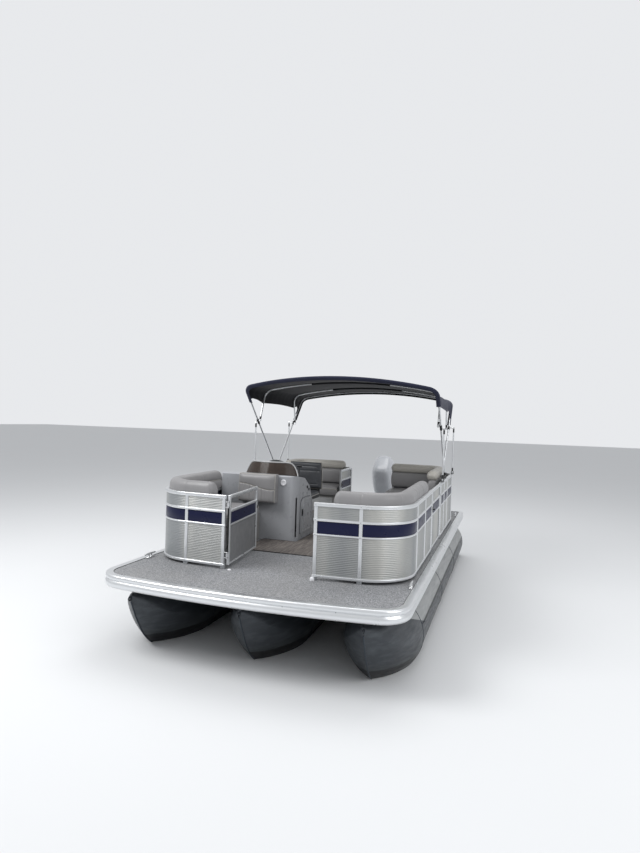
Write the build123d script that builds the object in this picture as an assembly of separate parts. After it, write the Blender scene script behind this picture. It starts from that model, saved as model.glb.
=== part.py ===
from build123d import *
import os
from math import atan2, cos, pi, radians, sin, sqrt

# Pontoon boat with three tubes, a fenced deck, a folding bimini top and an outboard motor.
# Millimetres. While it is laid out, x = 0 is the front of the rub rail on the centreline,
# +X points to the bow, +Y to port, and z = 0 is the top of the deck.

# Driving sizes of the deck and its rub rail
BEAM = 2590.0
DECK_LENGTH = 5180.0
DECK_BOW = 104.0
DECK_CORNER = 245.0
DECK_STERN_CORNER = 90.0
DECK_THICK = 32.0
BEAM_HEIGHT = 75.0
RAIL_DEPTH = 100.0
RAIL_WALL = 24.0
RAIL_GROOVE = 12.0
RAIL_LIP = 65.0
RAIL_LIP_THICK = 5.0
# Beads of the rub rail: inset from the beam, underside, top, rounding of the edges
RAIL_BEADS = (
    (2.5, -33.0, RAIL_LIP_THICK, 8.0),
    (0.0, -92.0, -48.0, 14.0),
)
FIT = 0.3
HALF_BEAM = BEAM / 2

# Tubes
TUBE_DIA = 635.0
TUBE_UNDER_BEAMS = 33.0
TUBE_SPACING = 975.0
TUBE_NOSE = -150.0
TUBE_NOSE_LENGTH = 850.0
TUBE_AFT = -DECK_LENGTH + 30.0
CENTER_TUBE_AFT = -DECK_LENGTH + 590.0
TUBE_TOP = -DECK_THICK - BEAM_HEIGHT - TUBE_UNDER_BEAMS
TUBE_BOTTOM = TUBE_TOP - TUBE_DIA
TUBE_RADIUS = TUBE_DIA / 2
TUBE_AXIS_Z = TUBE_TOP - TUBE_RADIUS
TOW_EYE_AHEAD = 18.0
TOW_EYE_Z = TUBE_TOP - 42.0
TOW_EYE_RADIUS = 20.0
TOW_EYE_HOLE = 9.0
TOW_EYE_THICK = 8.0
STRAKE_Z = TUBE_AXIS_Z + 94.5
STRAKE_THICK = 6.0
STRAKE_OUT = 14.0
STRAKE_FRONT = TUBE_NOSE - TUBE_NOSE_LENGTH
STRAKE_AFT = TUBE_AFT + 260.0

# Cross members between tubes and deck
BEAM_FLANGE = 60.0
BEAM_WEB = 8.0
BEAM_FIRST = -460.0
BEAM_LAST = -DECK_LENGTH + 240.0
BEAM_COUNT = 8
BEAM_REACH = HALF_BEAM - 70.0
RISER_HALF = 120.0
RISER_WALL = 8.0
RISER_DEPTH = 100.0
RISER_FRONT = BEAM_FIRST + 60.0

# Fence
FENCE_SETBACK = 648.0
FENCE_BOW = 77.0
FENCE_HALF = HALF_BEAM - 99.0
FENCE_CORNER = 400.0
FENCE_STERN = -DECK_LENGTH + 780.0
FENCE_STERN_CORNER = 160.0
FENCE_WIDTH = 32.0
FENCE_TRIM = 7.5
SKIN_IN = 8.0
SKIN_THICK = 4.0
SKIN_END = 6.0
POST_BACK = 12.5
POST_WIDTH = 32.0
# Heights of the four rails above the deck: name, underside, top
RAILS = (
    ("bottom", 21.0, 46.0),
    ("third", 370.0, 386.0),
    ("second", 488.0, 510.0),
    ("top", 610.0, 642.0),
)
FENCE_TOP = RAILS[3][2]
BOW_OPENING = 810.0
BIMINI_X = FENCE_STERN + 780.0
SIDE_GATE_AFT = BIMINI_X + 715.0
SIDE_GATE_FRONT = SIDE_GATE_AFT + 765.0
STERN_OPENING_STARBOARD = -285.0
STERN_OPENING_PORT = 335.0

# Gates
GATE_THICK = 25.0
GATE_STILE = 30.0
GATE_CLEAR = 18.0
GATE_BOTTOM = 30.0
GATE_TOP = 640.0
HINGE_PIN = 5.0
HINGE_EYE = 10.0
BOW_GATE_OPEN = 95.6

# Lounges
SEAT_TOP = 410.0
SEAT_THICK = 125.0
SEAT_EDGE = FENCE_HALF - 586.0
SEAT_SOFT = 22.0
BASE_RECESS = 50.0
BASE_FOOT = 40.0
ROLL_THICK = 135.0
AFT_ROLL_THICK = 120.0
ROLL_BOTTOM = 535.0
ROLL_TOP = 735.0
ROLL_INSET = FENCE_WIDTH + FIT
AFT_ROLL_INSET = 96.0
ROLL_STERN_CORNER = 320.0

# Console, where the helm is
CONSOLE_FRONT = -DECK_LENGTH * 3 / 5 + 1108.0
CONSOLE_AFT = CONSOLE_FRONT - 520.0
CONSOLE_INNER = -235.0
CONSOLE_OUTER = -FENCE_HALF + 66.0
CONSOLE_WALL = 12.0
CONSOLE_TOP = 704.0
CONSOLE_EDGE = 14.0
CONSOLE_KNEE = 380.0
SCREEN_LOW = 640.0
SCREEN_HIGH = 850.0
SCREEN_LEAN = -80.0
SCREEN_THICK = 8.0
SCREEN_HALF = 353.5
SCREEN_Y = CONSOLE_INNER - 397.0
SCREEN_X = CONSOLE_FRONT - 215.0
SCREEN_BOW = 155.0
SCREEN_CORNER = 70.0
DASH_TOP = (CONSOLE_FRONT - 250.0, 668.0)
DASH_FOOT = (CONSOLE_FRONT - 430.0, 557.0)

# Bimini top
BIMINI_Z = 664.0
BIMINI_TUBE = 22.0
BIMINI_RISE = 170.0
BIMINI_CORNER = 130.0
CANVAS = 3.0

# Outboard motor, drawn upright and tilted up to where it is kept
TILT_X = -DECK_LENGTH - 210.0
TILT_Z = 0.0
TILT_STORED = 35.0
STEER_BACK = 115.0


def box(x0, x1, y0, y1, z0, z1):
    """Block between two limits on each axis."""
    return Pos((x0 + x1) / 2, (y0 + y1) / 2, (z0 + z1) / 2) * Box(abs(x1 - x0), abs(y1 - y0), abs(z1 - z0))


def rod(start, end, radius):
    """Round bar from one point to another."""
    a, b = Vector(*start), Vector(*end)
    run = b - a
    return Plane(origin=a, z_dir=run) * Pos(0, 0, run.length / 2) * Cylinder(radius, run.length)


def fuse(pieces):
    """One solid from pieces that meet."""
    total = pieces[0]
    for piece in pieces[1:]:
        total = total + piece
    return total


def both_sides(shape):
    """The shape and its mirror image on the other side of the boat."""
    return [shape, mirror(shape, about=Plane.XZ)]


class Outline:
    """Bowed front, straight sides and round corners, seen from above.

    front is the foremost x, bow how far the arc drops back at the side, half the half width,
    corner the front corner's radius, aft and aft_corner the square end. An inset d moves
    every arc and line inwards on the same centres, so that bands of any width stay parallel.
    """

    def __init__(self, front, bow, half, corner, aft, aft_corner):
        self.radius = (half * half + bow * bow) / (2 * bow)
        self.centre = front - self.radius
        self.half = half
        self.corner = corner
        self.corner_y = half - corner
        self.corner_x = self.centre + sqrt((self.radius - corner) ** 2 - self.corner_y ** 2)
        self.turn = atan2(self.corner_y, self.corner_x - self.centre)
        self.aft = aft
        self.aft_corner = aft_corner

    def front_point(self, d, y):
        """Point of the bowed front at y."""
        return (self.centre + sqrt((self.radius - d) ** 2 - y * y), y)

    def front_arc(self, d, y0, y1, side):
        """Arc of the bowed front between two values of y."""
        a = self.front_point(d, y0)
        b = self.front_point(d, (y0 + y1) / 2)
        c = self.front_point(d, y1)
        return ThreePointArc(*[(p[0], p[1] * side) for p in (a, b, c)])

    def run(self, d, start_y, end, side, stern_y=None):
        """Edges from start_y on the front, round the corner and aft along one side.

        end is the x at which the run stops, or stern_y the y where it stops on the stern.
        """
        reach = self.radius - d
        tangent = (self.centre + reach * cos(self.turn), reach * sin(self.turn))
        edges = []
        if start_y < tangent[1]:
            edges.append(self.front_arc(d, start_y, tangent[1], side))
        r = self.corner - d
        mid = (self.turn + pi / 2) / 2
        middle = (self.corner_x + r * cos(mid), (self.corner_y + r * sin(mid)) * side)
        corner_end = (self.corner_x, (self.half - d) * side)
        edges.append(ThreePointArc((tangent[0], tangent[1] * side), middle, corner_end))
        if stern_y is None:
            edges.append(Line(corner_end, (end, (self.half - d) * side)))
            return edges
        return edges + self.stern_run(d, self.corner_x, stern_y, side)

    def stern_run(self, d, start_x, stern_y, side):
        """Edges from start_x on one side, round the stern corner, to stern_y on the stern."""
        y_side = self.half - d
        aft = self.aft + d
        r = self.aft_corner - d
        turn = r * (1 - cos(pi / 4))
        start = (start_x, y_side * side)
        a = (aft + r, y_side * side)
        b = (aft + turn, (y_side - turn) * side)
        c = (aft, (y_side - r) * side)
        edges = [Line(start, a), ThreePointArc(a, b, c)]
        edges.append(Line(c, (aft, stern_y * side)))
        return edges

    def face(self, d):
        """The whole closed outline at an inset."""
        port = self.run(d, 0.0, None, 1, stern_y=0.0)
        starboard = self.run(d, 0.0, None, -1, stern_y=0.0)
        return make_face(port + starboard)


def band(outline, d0, d1, start_y, end, side, stern_y=None, from_x=None):
    """Flat strip between two insets of one run."""
    if from_x is None:
        outer = outline.run(d0, start_y, end, side, stern_y)
        inner = outline.run(d1, start_y, end, side, stern_y)
    else:
        outer = outline.stern_run(d0, from_x, stern_y, side)
        inner = outline.stern_run(d1, from_x, stern_y, side)
    first = Line(outer[0] @ 0, inner[0] @ 0)
    last = Line(outer[-1] @ 1, inner[-1] @ 1)
    return make_face(outer + inner + [first, last])


def wall(face, z0, z1):
    """A flat face raised from z0 to z1."""
    return Pos(0, 0, z0) * extrude(face, z1 - z0)


DECK = Outline(0.0, DECK_BOW, HALF_BEAM, DECK_CORNER, -DECK_LENGTH, DECK_STERN_CORNER)
FENCE = Outline(-FENCE_SETBACK, FENCE_BOW, FENCE_HALF, FENCE_CORNER, FENCE_STERN, FENCE_STERN_CORNER)
ROLL_LINE = Outline(-FENCE_SETBACK, FENCE_BOW, FENCE_HALF, FENCE_CORNER, FENCE_STERN, ROLL_STERN_CORNER)

nodes = {}


def nose_sections(y):
    """Nose of a tube: sections that narrow to a raked leading edge."""
    # Columns, as shares: of the nose's length, of the tube's radius, of its diameter down to the
    # crown and to the keel, of roundness below
    sections = (
        (0.0, 0.045, 0.019, 0.113, 0.30),
        (0.106, 0.290, 0.0095, 0.394, 0.34),
        (0.247, 0.542, 0.003, 0.661, 0.45),
        (0.447, 0.769, 0.001, 0.866, 0.62),
        (0.694, 0.932, 0.0, 0.969, 0.85),
        (1.0, 1.0, 0.0, 1.0, 1.0),
    )
    faces = []
    for back, width, crown, depth, fullness in sections:
        half = width * TUBE_RADIUS
        top = TUBE_TOP - crown * TUBE_DIA
        keel = TUBE_TOP - depth * TUBE_DIA
        middle = top - min(half, (top - keel) * 0.5)
        low = (half * 0.7071 * fullness + half * 0.5 * (1 - fullness),
               middle - (middle - keel) * (0.7071 * fullness + 0.5 * (1 - fullness)))
        upper = ThreePointArc((-half, middle), (0, top), (half, middle))
        right = ThreePointArc((half, middle), low, (0, keel))
        left = ThreePointArc((0, keel), (-low[0], low[1]), (-half, middle))
        plane = Plane(origin=(TUBE_NOSE - back * TUBE_NOSE_LENGTH, y, 0), x_dir=(0, 1, 0), z_dir=(1, 0, 0))
        faces.append(plane * make_face([upper, right, left]))
    return faces


def riser(y, aft):
    """Inverted channel welded along the top of a tube, which the cross beams stand on."""
    top = -DECK_THICK - BEAM_HEIGHT
    inner = RISER_HALF - RISER_WALL
    outside = box(RISER_FRONT, aft, y - RISER_HALF, y + RISER_HALF, top - RISER_DEPTH, top)
    return outside - box(RISER_FRONT + 1, aft - 1, y - inner, y + inner, top - RISER_DEPTH - 1, top - RISER_WALL)


def strake(y):
    """Spray strip along the outboard shoulder of an outer tube."""
    side = 1 if y > 0 else -1
    reach = abs(y) + sqrt(TUBE_RADIUS ** 2 - (STRAKE_Z - TUBE_AXIS_Z) ** 2)
    low, high = sorted(((reach - 12) * side, (reach + STRAKE_OUT) * side))
    strip = box(STRAKE_FRONT, STRAKE_AFT, low, high, STRAKE_Z - STRAKE_THICK / 2, STRAKE_Z + STRAKE_THICK / 2)
    outer_corner = strip.edges().filter_by(Axis.Z).sort_by(Axis.X)[-2:].sort_by(Axis.Y)[-1 if side > 0 else 0]
    return chamfer(outer_corner, STRAKE_OUT, 90.0)


def pontoon(y, aft, riser_aft):
    """One tube with its nose, riser and tow eye."""
    faces = nose_sections(y)
    body = extrude(faces[-1], TUBE_NOSE - TUBE_NOSE_LENGTH - aft, dir=(-1, 0, 0))
    eye_x = TUBE_NOSE + TOW_EYE_AHEAD
    half = TOW_EYE_THICK / 2
    eye = rod((eye_x, y - half, TOW_EYE_Z), (eye_x, y + half, TOW_EYE_Z), TOW_EYE_RADIUS)
    eye = eye + box(TUBE_NOSE - 30, eye_x, y - half, y + half, TOW_EYE_Z - 14, TOW_EYE_Z + 14)
    hole = rod((eye_x, y - 20, TOW_EYE_Z), (eye_x, y + 20, TOW_EYE_Z), TOW_EYE_HOLE)
    tube = body + loft(faces) + riser(y, riser_aft)
    if abs(y) > 1:
        tube = tube + strake(y)
    return tube + eye - hole


riser_aft = BEAM_LAST - BEAM_FLANGE
for name, y, tube_aft, end in (
    ("pontoon_port", TUBE_SPACING, TUBE_AFT, riser_aft),
    ("pontoon_center", 0.0, CENTER_TUBE_AFT, CENTER_TUBE_AFT + 20),
    ("pontoon_starboard", -TUBE_SPACING, TUBE_AFT, riser_aft),
):
    nodes[name] = pontoon(y, tube_aft, end)


def cross_members():
    """Channel beams across the risers, open to the stern."""
    top = -DECK_THICK
    low = top - BEAM_HEIGHT
    pitch = (BEAM_FIRST - BEAM_LAST) / (BEAM_COUNT - 1)
    beams = []
    for index in range(BEAM_COUNT):
        x = BEAM_FIRST - pitch * index
        web = box(x, x - BEAM_WEB, -BEAM_REACH, BEAM_REACH, low, top)
        head = box(x, x - BEAM_FLANGE, -BEAM_REACH, BEAM_REACH, top - BEAM_WEB, top)
        foot = box(x, x - BEAM_FLANGE, -BEAM_REACH, BEAM_REACH, low, low + BEAM_WEB)
        beams.append(web + head + foot)
    return beams


nodes["cross_members"] = cross_members()

# Deck panel and the extrusion round its edge
nodes["deck"] = wall(DECK.face(RAIL_WALL + FIT), -DECK_THICK, 0)


def rail_bead(inset, low, high, soft):
    """Solid disc of the deck's outline with its outer edges rounded, for one bead of the rail."""
    disc = wall(DECK.face(inset), low, high)
    rims = disc.faces().sort_by(Axis.Z)[0].edges() + disc.faces().sort_by(Axis.Z)[-1].edges()
    return fillet(rims, soft)


def rub_rail():
    """Edge extrusion: a wall with two round beads, a lip over the deck and a foot below."""
    solid_rail = wall(DECK.face(RAIL_GROOVE), -RAIL_DEPTH, 0)
    for inset, low, high, soft in RAIL_BEADS:
        solid_rail = solid_rail + rail_bead(inset, low, high, soft)
    rail = solid_rail - wall(DECK.face(RAIL_WALL), -RAIL_DEPTH - 1, 0)
    return rail - wall(DECK.face(RAIL_LIP), 0, RAIL_LIP_THICK + 1)


nodes["rub_rail"] = rub_rail()


def fence_post(x0, x1, y0, y1, start_y, end, side, stern_y=None, from_x=None):
    """Upright in two skins, front trim and back web, cut out of the fence's own bands."""
    zone = box(x0, x1, y0, y1, -10, FENCE_TOP + 10)
    trim = wall(band(FENCE, 0, FENCE_TRIM, start_y, end, side, stern_y, from_x), RAILS[0][1], FENCE_TOP)
    back = wall(band(FENCE, POST_BACK, FENCE_WIDTH, start_y, end, side, stern_y, from_x),
                RAILS[0][1], FENCE_TOP)
    foot = wall(band(FENCE, 6, FENCE_WIDTH - 6, start_y, end, side, stern_y, from_x), 0, RAILS[0][1])
    return (trim & zone) + (back & zone) + (foot & zone)


def fence_section(start_y, end, side, front_posts, side_posts, stern_posts=(), stern_y=None, from_x=None):
    """Four rails along one run with its posts."""
    strip = band(FENCE, 0, FENCE_WIDTH, start_y, end, side, stern_y, from_x)
    pieces = [wall(strip, low, high) for name, low, high in RAILS]
    half = POST_WIDTH / 2
    zones = []
    for y in front_posts:
        zones.append((-FENCE_SETBACK - FENCE_CORNER, 0, y - half, y + half))
    for x in side_posts:
        zones.append((x - half, x + half, FENCE_HALF - 200, FENCE_HALF + 10))
    for y in stern_posts:
        zones.append((FENCE_STERN - 10, FENCE_STERN + 100, y - half, y + half))
    for x0, x1, y0, y1 in zones:
        low, high = sorted((y0 * side, y1 * side))
        pieces.append(fence_post(x0, x1, low, high, start_y, end, side, stern_y, from_x))
    return fuse(pieces)


def fence_skins(z_pairs, start_y, end, side, stern_y=None, from_x=None):
    """Sheets held between two rails."""
    if start_y is not None:
        start_y = start_y + SKIN_END
    if end is not None:
        end = end + SKIN_END
    if stern_y is not None:
        stern_y = stern_y + SKIN_END
    if from_x is not None:
        from_x = from_x - SKIN_END
    strip = band(FENCE, SKIN_IN, SKIN_IN + SKIN_THICK, start_y, end, side, stern_y, from_x)
    return [wall(strip, low, high) for low, high in z_pairs]


half_gate = BOW_OPENING / 2
half_post = POST_WIDTH / 2
SKIN_BANDS = ((RAILS[0][2], RAILS[1][1]), (RAILS[2][2], RAILS[3][1]))
STRIPE_BANDS = ((RAILS[1][2], RAILS[2][1]),)
# Runs of the fence: name, start on the front, end on the side, side, posts, stern end, start x
starboard_stern = -STERN_OPENING_STARBOARD
STERN_POST = FENCE_STERN + 195.0
FRONT_POST_Y = 800.0
CORNER_POST = -1160.0
BOW_POST = (CORNER_POST + SIDE_GATE_FRONT) / 2
RUNS = (
    ("starboard", half_gate, None, -1, (half_gate + half_post, FRONT_POST_Y),
     (CORNER_POST, BOW_POST, SIDE_GATE_FRONT, BIMINI_X + 980, BIMINI_X + 480, BIMINI_X, STERN_POST),
     (starboard_stern + half_post,), starboard_stern, None),
    ("port_bow", half_gate, SIDE_GATE_FRONT, 1, (half_gate + half_post, FRONT_POST_Y),
     (CORNER_POST, BOW_POST, SIDE_GATE_FRONT + half_post), (), None, None),
    ("port_aft", None, None, 1, (), (SIDE_GATE_AFT - half_post, BIMINI_X + 358, BIMINI_X, STERN_POST),
     (STERN_OPENING_PORT + half_post,), STERN_OPENING_PORT, SIDE_GATE_AFT),
)
stripes = []
for name, start_y, end, side, fronts, sides, sterns, stern_y, from_x in RUNS:
    nodes["fence_rails_" + name] = fence_section(start_y, end, side, fronts, sides, sterns, stern_y, from_x)
    nodes["fence_skins_" + name] = fence_skins(SKIN_BANDS, start_y, end, side, stern_y, from_x)
    stripes += fence_skins(STRIPE_BANDS, start_y, end, side, stern_y, from_x)
nodes["fence_stripes"] = stripes


def gate(length, bands):
    """A gate that lies along +X from its hinge axis at the origin, centred on y = 0.

    Returns its frame and its sheets, the stripe last."""
    near = GATE_CLEAR
    far = length
    half = GATE_THICK / 2
    stiles = [
        box(near, near + GATE_STILE, -half, half, GATE_BOTTOM, GATE_TOP),
        box(far - GATE_STILE, far, -half, half, GATE_BOTTOM, GATE_TOP),
    ]
    bars = []
    for name, low, high in RAILS:
        bars.append(box(near, far, -half, half, max(low, GATE_BOTTOM), min(high, GATE_TOP)))
    eyes = []
    for z in (120.0, 560.0):
        eye = Pos(0, 0, z) * Cylinder(HINGE_EYE, 30) + box(0, near + 1, -4, 4, z - 15, z + 15)
        eyes.append(eye - Pos(0, 0, z) * Cylinder(HINGE_PIN + FIT, 40))
    frame = fuse(stiles + bars + eyes)
    inner = near + GATE_STILE
    outer = far - GATE_STILE
    sheets = []
    for low, high in bands + STRIPE_BANDS:
        sheets.append(box(inner, outer, -SKIN_THICK / 2, SKIN_THICK / 2, low, high))
    return frame, sheets


def hinge_post_lugs(x, y, wall_point):
    """Pins that a gate's eyes turn on, with the lugs that hold them to the fence."""
    pieces = []
    for z in (120.0, 560.0):
        pin = Pos(x, y, z) * Cylinder(HINGE_PIN, 56)
        pieces.append(pin)
        for level in (z - 24, z + 24):
            ring = Pos(x, y, level) * Cylinder(HINGE_EYE, 8)
            px, py = wall_point
            low_x, high_x = sorted((x, px)) if abs(x - px) > 1 else (x - 6, x + 6)
            low_y, high_y = sorted((y, py)) if abs(y - py) > 1 else (y - 6, y + 6)
            pieces.append(ring + box(low_x, high_x, low_y, high_y, level - 4, level + 4))
    return fuse(pieces)


FENCE_MID = FENCE_WIDTH / 2
# Hinge axes of the three gates, in plan, and how each lies: place, length, direction in degrees, sheets
BOW_HINGE = (-FENCE_SETBACK - 24.0, -half_gate + 22.0)
SIDE_HINGE = (SIDE_GATE_AFT + 22.0, FENCE_HALF - FENCE_MID)
STERN_HINGE = (FENCE_STERN + FENCE_MID, STERN_OPENING_STARBOARD + 22.0)
GATES = (
    ("bow_gate", BOW_HINGE, 2 * half_gate - 30.0, 90.0 + BOW_GATE_OPEN, SKIN_BANDS[:1]),
    ("side_gate", SIDE_HINGE, SIDE_GATE_FRONT - SIDE_GATE_AFT - 30.0, 0.0, SKIN_BANDS),
    ("stern_gate", STERN_HINGE, STERN_OPENING_PORT - STERN_OPENING_STARBOARD - 30.0, 0.0, SKIN_BANDS),
)
for name, (x, y), length, heading, bands in GATES:
    frame, sheets = gate(length, bands)
    place = Pos(x, y, 0) * Rot(0, 0, heading)
    nodes[name + "_frame"] = place * frame
    nodes[name + "_panels"] = [place * sheet for sheet in sheets[:-1]]
    nodes[name + "_stripe"] = place * sheets[-1]

nodes["fence_rails_starboard"] += hinge_post_lugs(*BOW_HINGE, (BOW_HINGE[0], -half_gate - 2))
nodes["fence_rails_starboard"] += hinge_post_lugs(*STERN_HINGE, (STERN_HINGE[0], STERN_OPENING_STARBOARD - 2))
nodes["fence_rails_port_aft"] += hinge_post_lugs(*SIDE_HINGE, (SIDE_GATE_AFT - 2, SIDE_HINGE[1]))

# Cockpit mat over the deck, from behind the front lounges to the stern gate
MAT_FRONT = -1430.0
MAT_THICK = 6.0
MAT_STEP = FENCE_STERN + 760.0
# Mat limits, front to back: x from, x to, y from, y to
MAT_PARTS = (
    (MAT_FRONT, CONSOLE_FRONT + 10, -SEAT_EDGE + 10, SEAT_EDGE - 65),
    (CONSOLE_FRONT + 10, MAT_STEP, CONSOLE_INNER + 13, SEAT_EDGE - 65),
    (MAT_STEP, FENCE_STERN + 75, CONSOLE_INNER + 13, STERN_OPENING_PORT - 10),
)
nodes["cockpit_mat"] = fuse([box(x0, x1, y0, y1, 0, MAT_THICK) for x0, x1, y0, y1 in MAT_PARTS])


def inside(inset, x0, x1, y0, y1):
    """Part of the floor inside the fence, at an inset, within limits."""
    zone = Pos((x0 + x1) / 2, (y0 + y1) / 2) * Rectangle(abs(x1 - x0), abs(y1 - y0))
    return FENCE.face(inset) & zone


def lounge_base(plan_faces, top):
    """Moulded base with a recessed foot."""
    return fuse([wall(face, 0, top) for face in plan_faces])


def cushion(face, low, high):
    """Padded seat: a slab with soft upper edges."""
    slab = wall(face, low, high)
    return fillet(slab.faces().sort_by(Axis.Z)[-1].edges(), SEAT_SOFT)


def roll_section(thick, low, high):
    """Section of a roll-top back: flat outer side, round top and bulged front."""
    r = thick / 2
    waist = (low + high - r) / 2
    return make_face([
        Line((0, low + 20), (0, high - r)),
        ThreePointArc((0, high - r), (r, high), (thick, high - r)),
        ThreePointArc((thick, high - r), (thick + 6, waist), (thick - 22, low)),
        Line((thick - 22, low), (16, low)),
        Line((16, low), (0, low + 20)),
    ])


def roll(inset, thick, low, start_y, end, side, stern_y=None, from_x=None):
    """Roll-top back cushion that follows the inside of the fence."""
    if from_x is None:
        edges = ROLL_LINE.run(inset, start_y, end, side, stern_y)
    else:
        edges = ROLL_LINE.stern_run(inset, from_x, stern_y, side)
    start = edges[0] @ 0
    heading = edges[0] % 0
    inboard = Vector(0, 0, 1).cross(heading) * side
    plane = Plane(origin=start, x_dir=inboard, z_dir=heading * side)
    return sweep(plane * roll_section(thick, low, ROLL_TOP), path=Wire(edges))


# Front lounges
LOUNGE_FRONT = -FENCE_SETBACK + 50
STARBOARD_LOUNGE_AFT = CONSOLE_FRONT + 150.0
PORT_LOUNGE_AFT = SIDE_GATE_FRONT + 60.0
seat_low = SEAT_TOP - SEAT_THICK
SEAT_INSET = 46.0
PORT_EDGE = SEAT_EDGE - 60.0
nodes["bow_lounge_bases"] = [
    wall(inside(SEAT_INSET + BASE_FOOT, LOUNGE_FRONT, CONSOLE_FRONT + 4, -FENCE_HALF, -SEAT_EDGE - BASE_RECESS),
         0, seat_low),
    wall(inside(SEAT_INSET + BASE_FOOT, LOUNGE_FRONT, PORT_LOUNGE_AFT + BASE_FOOT, PORT_EDGE + BASE_RECESS,
                FENCE_HALF), 0, seat_low),
]
nodes["bow_seat_cushions"] = [
    cushion(inside(SEAT_INSET, LOUNGE_FRONT, STARBOARD_LOUNGE_AFT, -FENCE_HALF, -SEAT_EDGE), seat_low, SEAT_TOP),
    cushion(inside(SEAT_INSET, LOUNGE_FRONT, PORT_LOUNGE_AFT, PORT_EDGE, FENCE_HALF), seat_low, SEAT_TOP),
]
nodes["bow_backrest_starboard"] = roll(ROLL_INSET, ROLL_THICK, ROLL_BOTTOM, SEAT_EDGE - 50,
                                        STARBOARD_LOUNGE_AFT + 20, -1)
nodes["bow_backrest_port"] = roll(ROLL_INSET, ROLL_THICK, ROLL_BOTTOM, PORT_EDGE, PORT_LOUNGE_AFT, 1)


CONSOLE_BACK_TOP = 712.0
CONSOLE_BACK_WIDTH = 430.0
CONSOLE_BACK_THICK = 125.0


def console_backrest():
    """Back cushion on the console's front, for someone who faces the bow."""
    x0 = CONSOLE_FRONT + FIT
    x1 = x0 + CONSOLE_BACK_THICK
    low = SEAT_TOP + FIT
    side = make_face(Polyline((x0, low), (x0, CONSOLE_BACK_TOP), (x1 - 40, CONSOLE_BACK_TOP),
                              (x1, CONSOLE_BACK_TOP - 22), (x1 + 18, low), close=True).edges())
    return Pos(0, CONSOLE_INNER - 215, 0) * extrude(Plane.XZ * side, CONSOLE_BACK_WIDTH)


nodes["console_backrest"] = console_backrest()

# Aft lounges: one along the stern to starboard, one in an L to port
AFT_SEAT_FRONT = FENCE_STERN + 570.0
AFT_INSET = 60.0
PORT_SIDE_FRONT = FENCE_STERN + 1130.0
aft_star = inside(AFT_INSET, AFT_SEAT_FRONT, FENCE_STERN, -FENCE_HALF, STERN_OPENING_STARBOARD - 30)
aft_port = inside(AFT_INSET, AFT_SEAT_FRONT, FENCE_STERN, STERN_OPENING_PORT + 20, FENCE_HALF)
aft_port_side = inside(AFT_INSET, PORT_SIDE_FRONT, FENCE_STERN, SEAT_EDGE + 40, FENCE_HALF)
nodes["aft_lounge_bases"] = [
    wall(inside(AFT_INSET + BASE_FOOT, AFT_SEAT_FRONT - BASE_FOOT, FENCE_STERN, -FENCE_HALF,
                STERN_OPENING_STARBOARD - 60), 0, seat_low),
    wall(inside(AFT_INSET + BASE_FOOT, AFT_SEAT_FRONT - BASE_FOOT, FENCE_STERN, STERN_OPENING_PORT + 50, FENCE_HALF)
         + inside(AFT_INSET + BASE_FOOT, PORT_SIDE_FRONT - BASE_FOOT, FENCE_STERN, SEAT_EDGE + 80, FENCE_HALF),
         0, seat_low),
]
nodes["aft_seat_cushions"] = [
    cushion(aft_star, seat_low, SEAT_TOP),
    cushion(aft_port + aft_port_side, seat_low, SEAT_TOP),
]
nodes["aft_backrests"] = [
    roll(AFT_ROLL_INSET, AFT_ROLL_THICK, SEAT_TOP + FIT, None, None, -1, 30 - STERN_OPENING_STARBOARD,
         AFT_SEAT_FRONT),
    roll(AFT_ROLL_INSET, AFT_ROLL_THICK, SEAT_TOP + FIT, None, None, 1, STERN_OPENING_PORT + 20,
         PORT_SIDE_FRONT),
]


# Steering wheel on the dash, which slopes to the helmsman
WHEEL_CENTRE = (CONSOLE_FRONT - 470.0, CONSOLE_INNER - 405.0, 690.0)
WHEEL_LEAN = 32.0
WHEEL_RADIUS = 165.0
WHEEL_RIM = 14.0
HUB_BACK = 45.0
wheel_axis = Vector(-cos(radians(WHEEL_LEAN)), 0, sin(radians(WHEEL_LEAN)))
wheel_plane = Plane(origin=WHEEL_CENTRE, x_dir=(0, 1, 0), z_dir=wheel_axis)


def console_side():
    """Side view of the console: front, top, dash and helmsman's side."""
    points = ((CONSOLE_FRONT, 0.0), (CONSOLE_FRONT, CONSOLE_TOP - CONSOLE_EDGE),
              (CONSOLE_FRONT - CONSOLE_EDGE, CONSOLE_TOP), DASH_TOP, DASH_FOOT,
              (CONSOLE_AFT, CONSOLE_KNEE), (CONSOLE_AFT, 0.0))
    return make_face(Polyline(*points, close=True).edges())


# Storage door in the console's inboard side, hinged at its aft edge
STORE_FRONT = CONSOLE_FRONT - 30.0
STORE_AFT = CONSOLE_AFT + 20.0
STORE_LOW = 40.0
STORE_HIGH = 470.0
DOOR_FRONT = CONSOLE_FRONT - 120.0
DOOR_AFT = CONSOLE_AFT + 30.0
DOOR_LOW = 70.0
DOOR_HIGH = 450.0
DOOR_THICK = 16.0
DOOR_LAP = 12.0
DOOR_HINGE = (DOOR_AFT - 2.0, CONSOLE_INNER + 12.0)
DOOR_PIN = 3.0
KNUCKLE_RADIUS = 7.0
KNUCKLE_HALF = 22.0
# Heights of the hinge's knuckles on the console, and of those on the door
CONSOLE_KNUCKLES = (118.0, 338.0)
DOOR_KNUCKLES = (164.0, 292.0)


def knuckle(z, reach_x, reach_y):
    """Hinge knuckle round the door's pin, with a leaf to the piece that carries it."""
    x, y = DOOR_HINGE
    barrel = Pos(x, y, z) * Cylinder(KNUCKLE_RADIUS, 2 * KNUCKLE_HALF)
    return barrel + box(min(x, reach_x), max(x, reach_x), min(y, reach_y), max(y, reach_y),
                        z - KNUCKLE_HALF, z + KNUCKLE_HALF)


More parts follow.
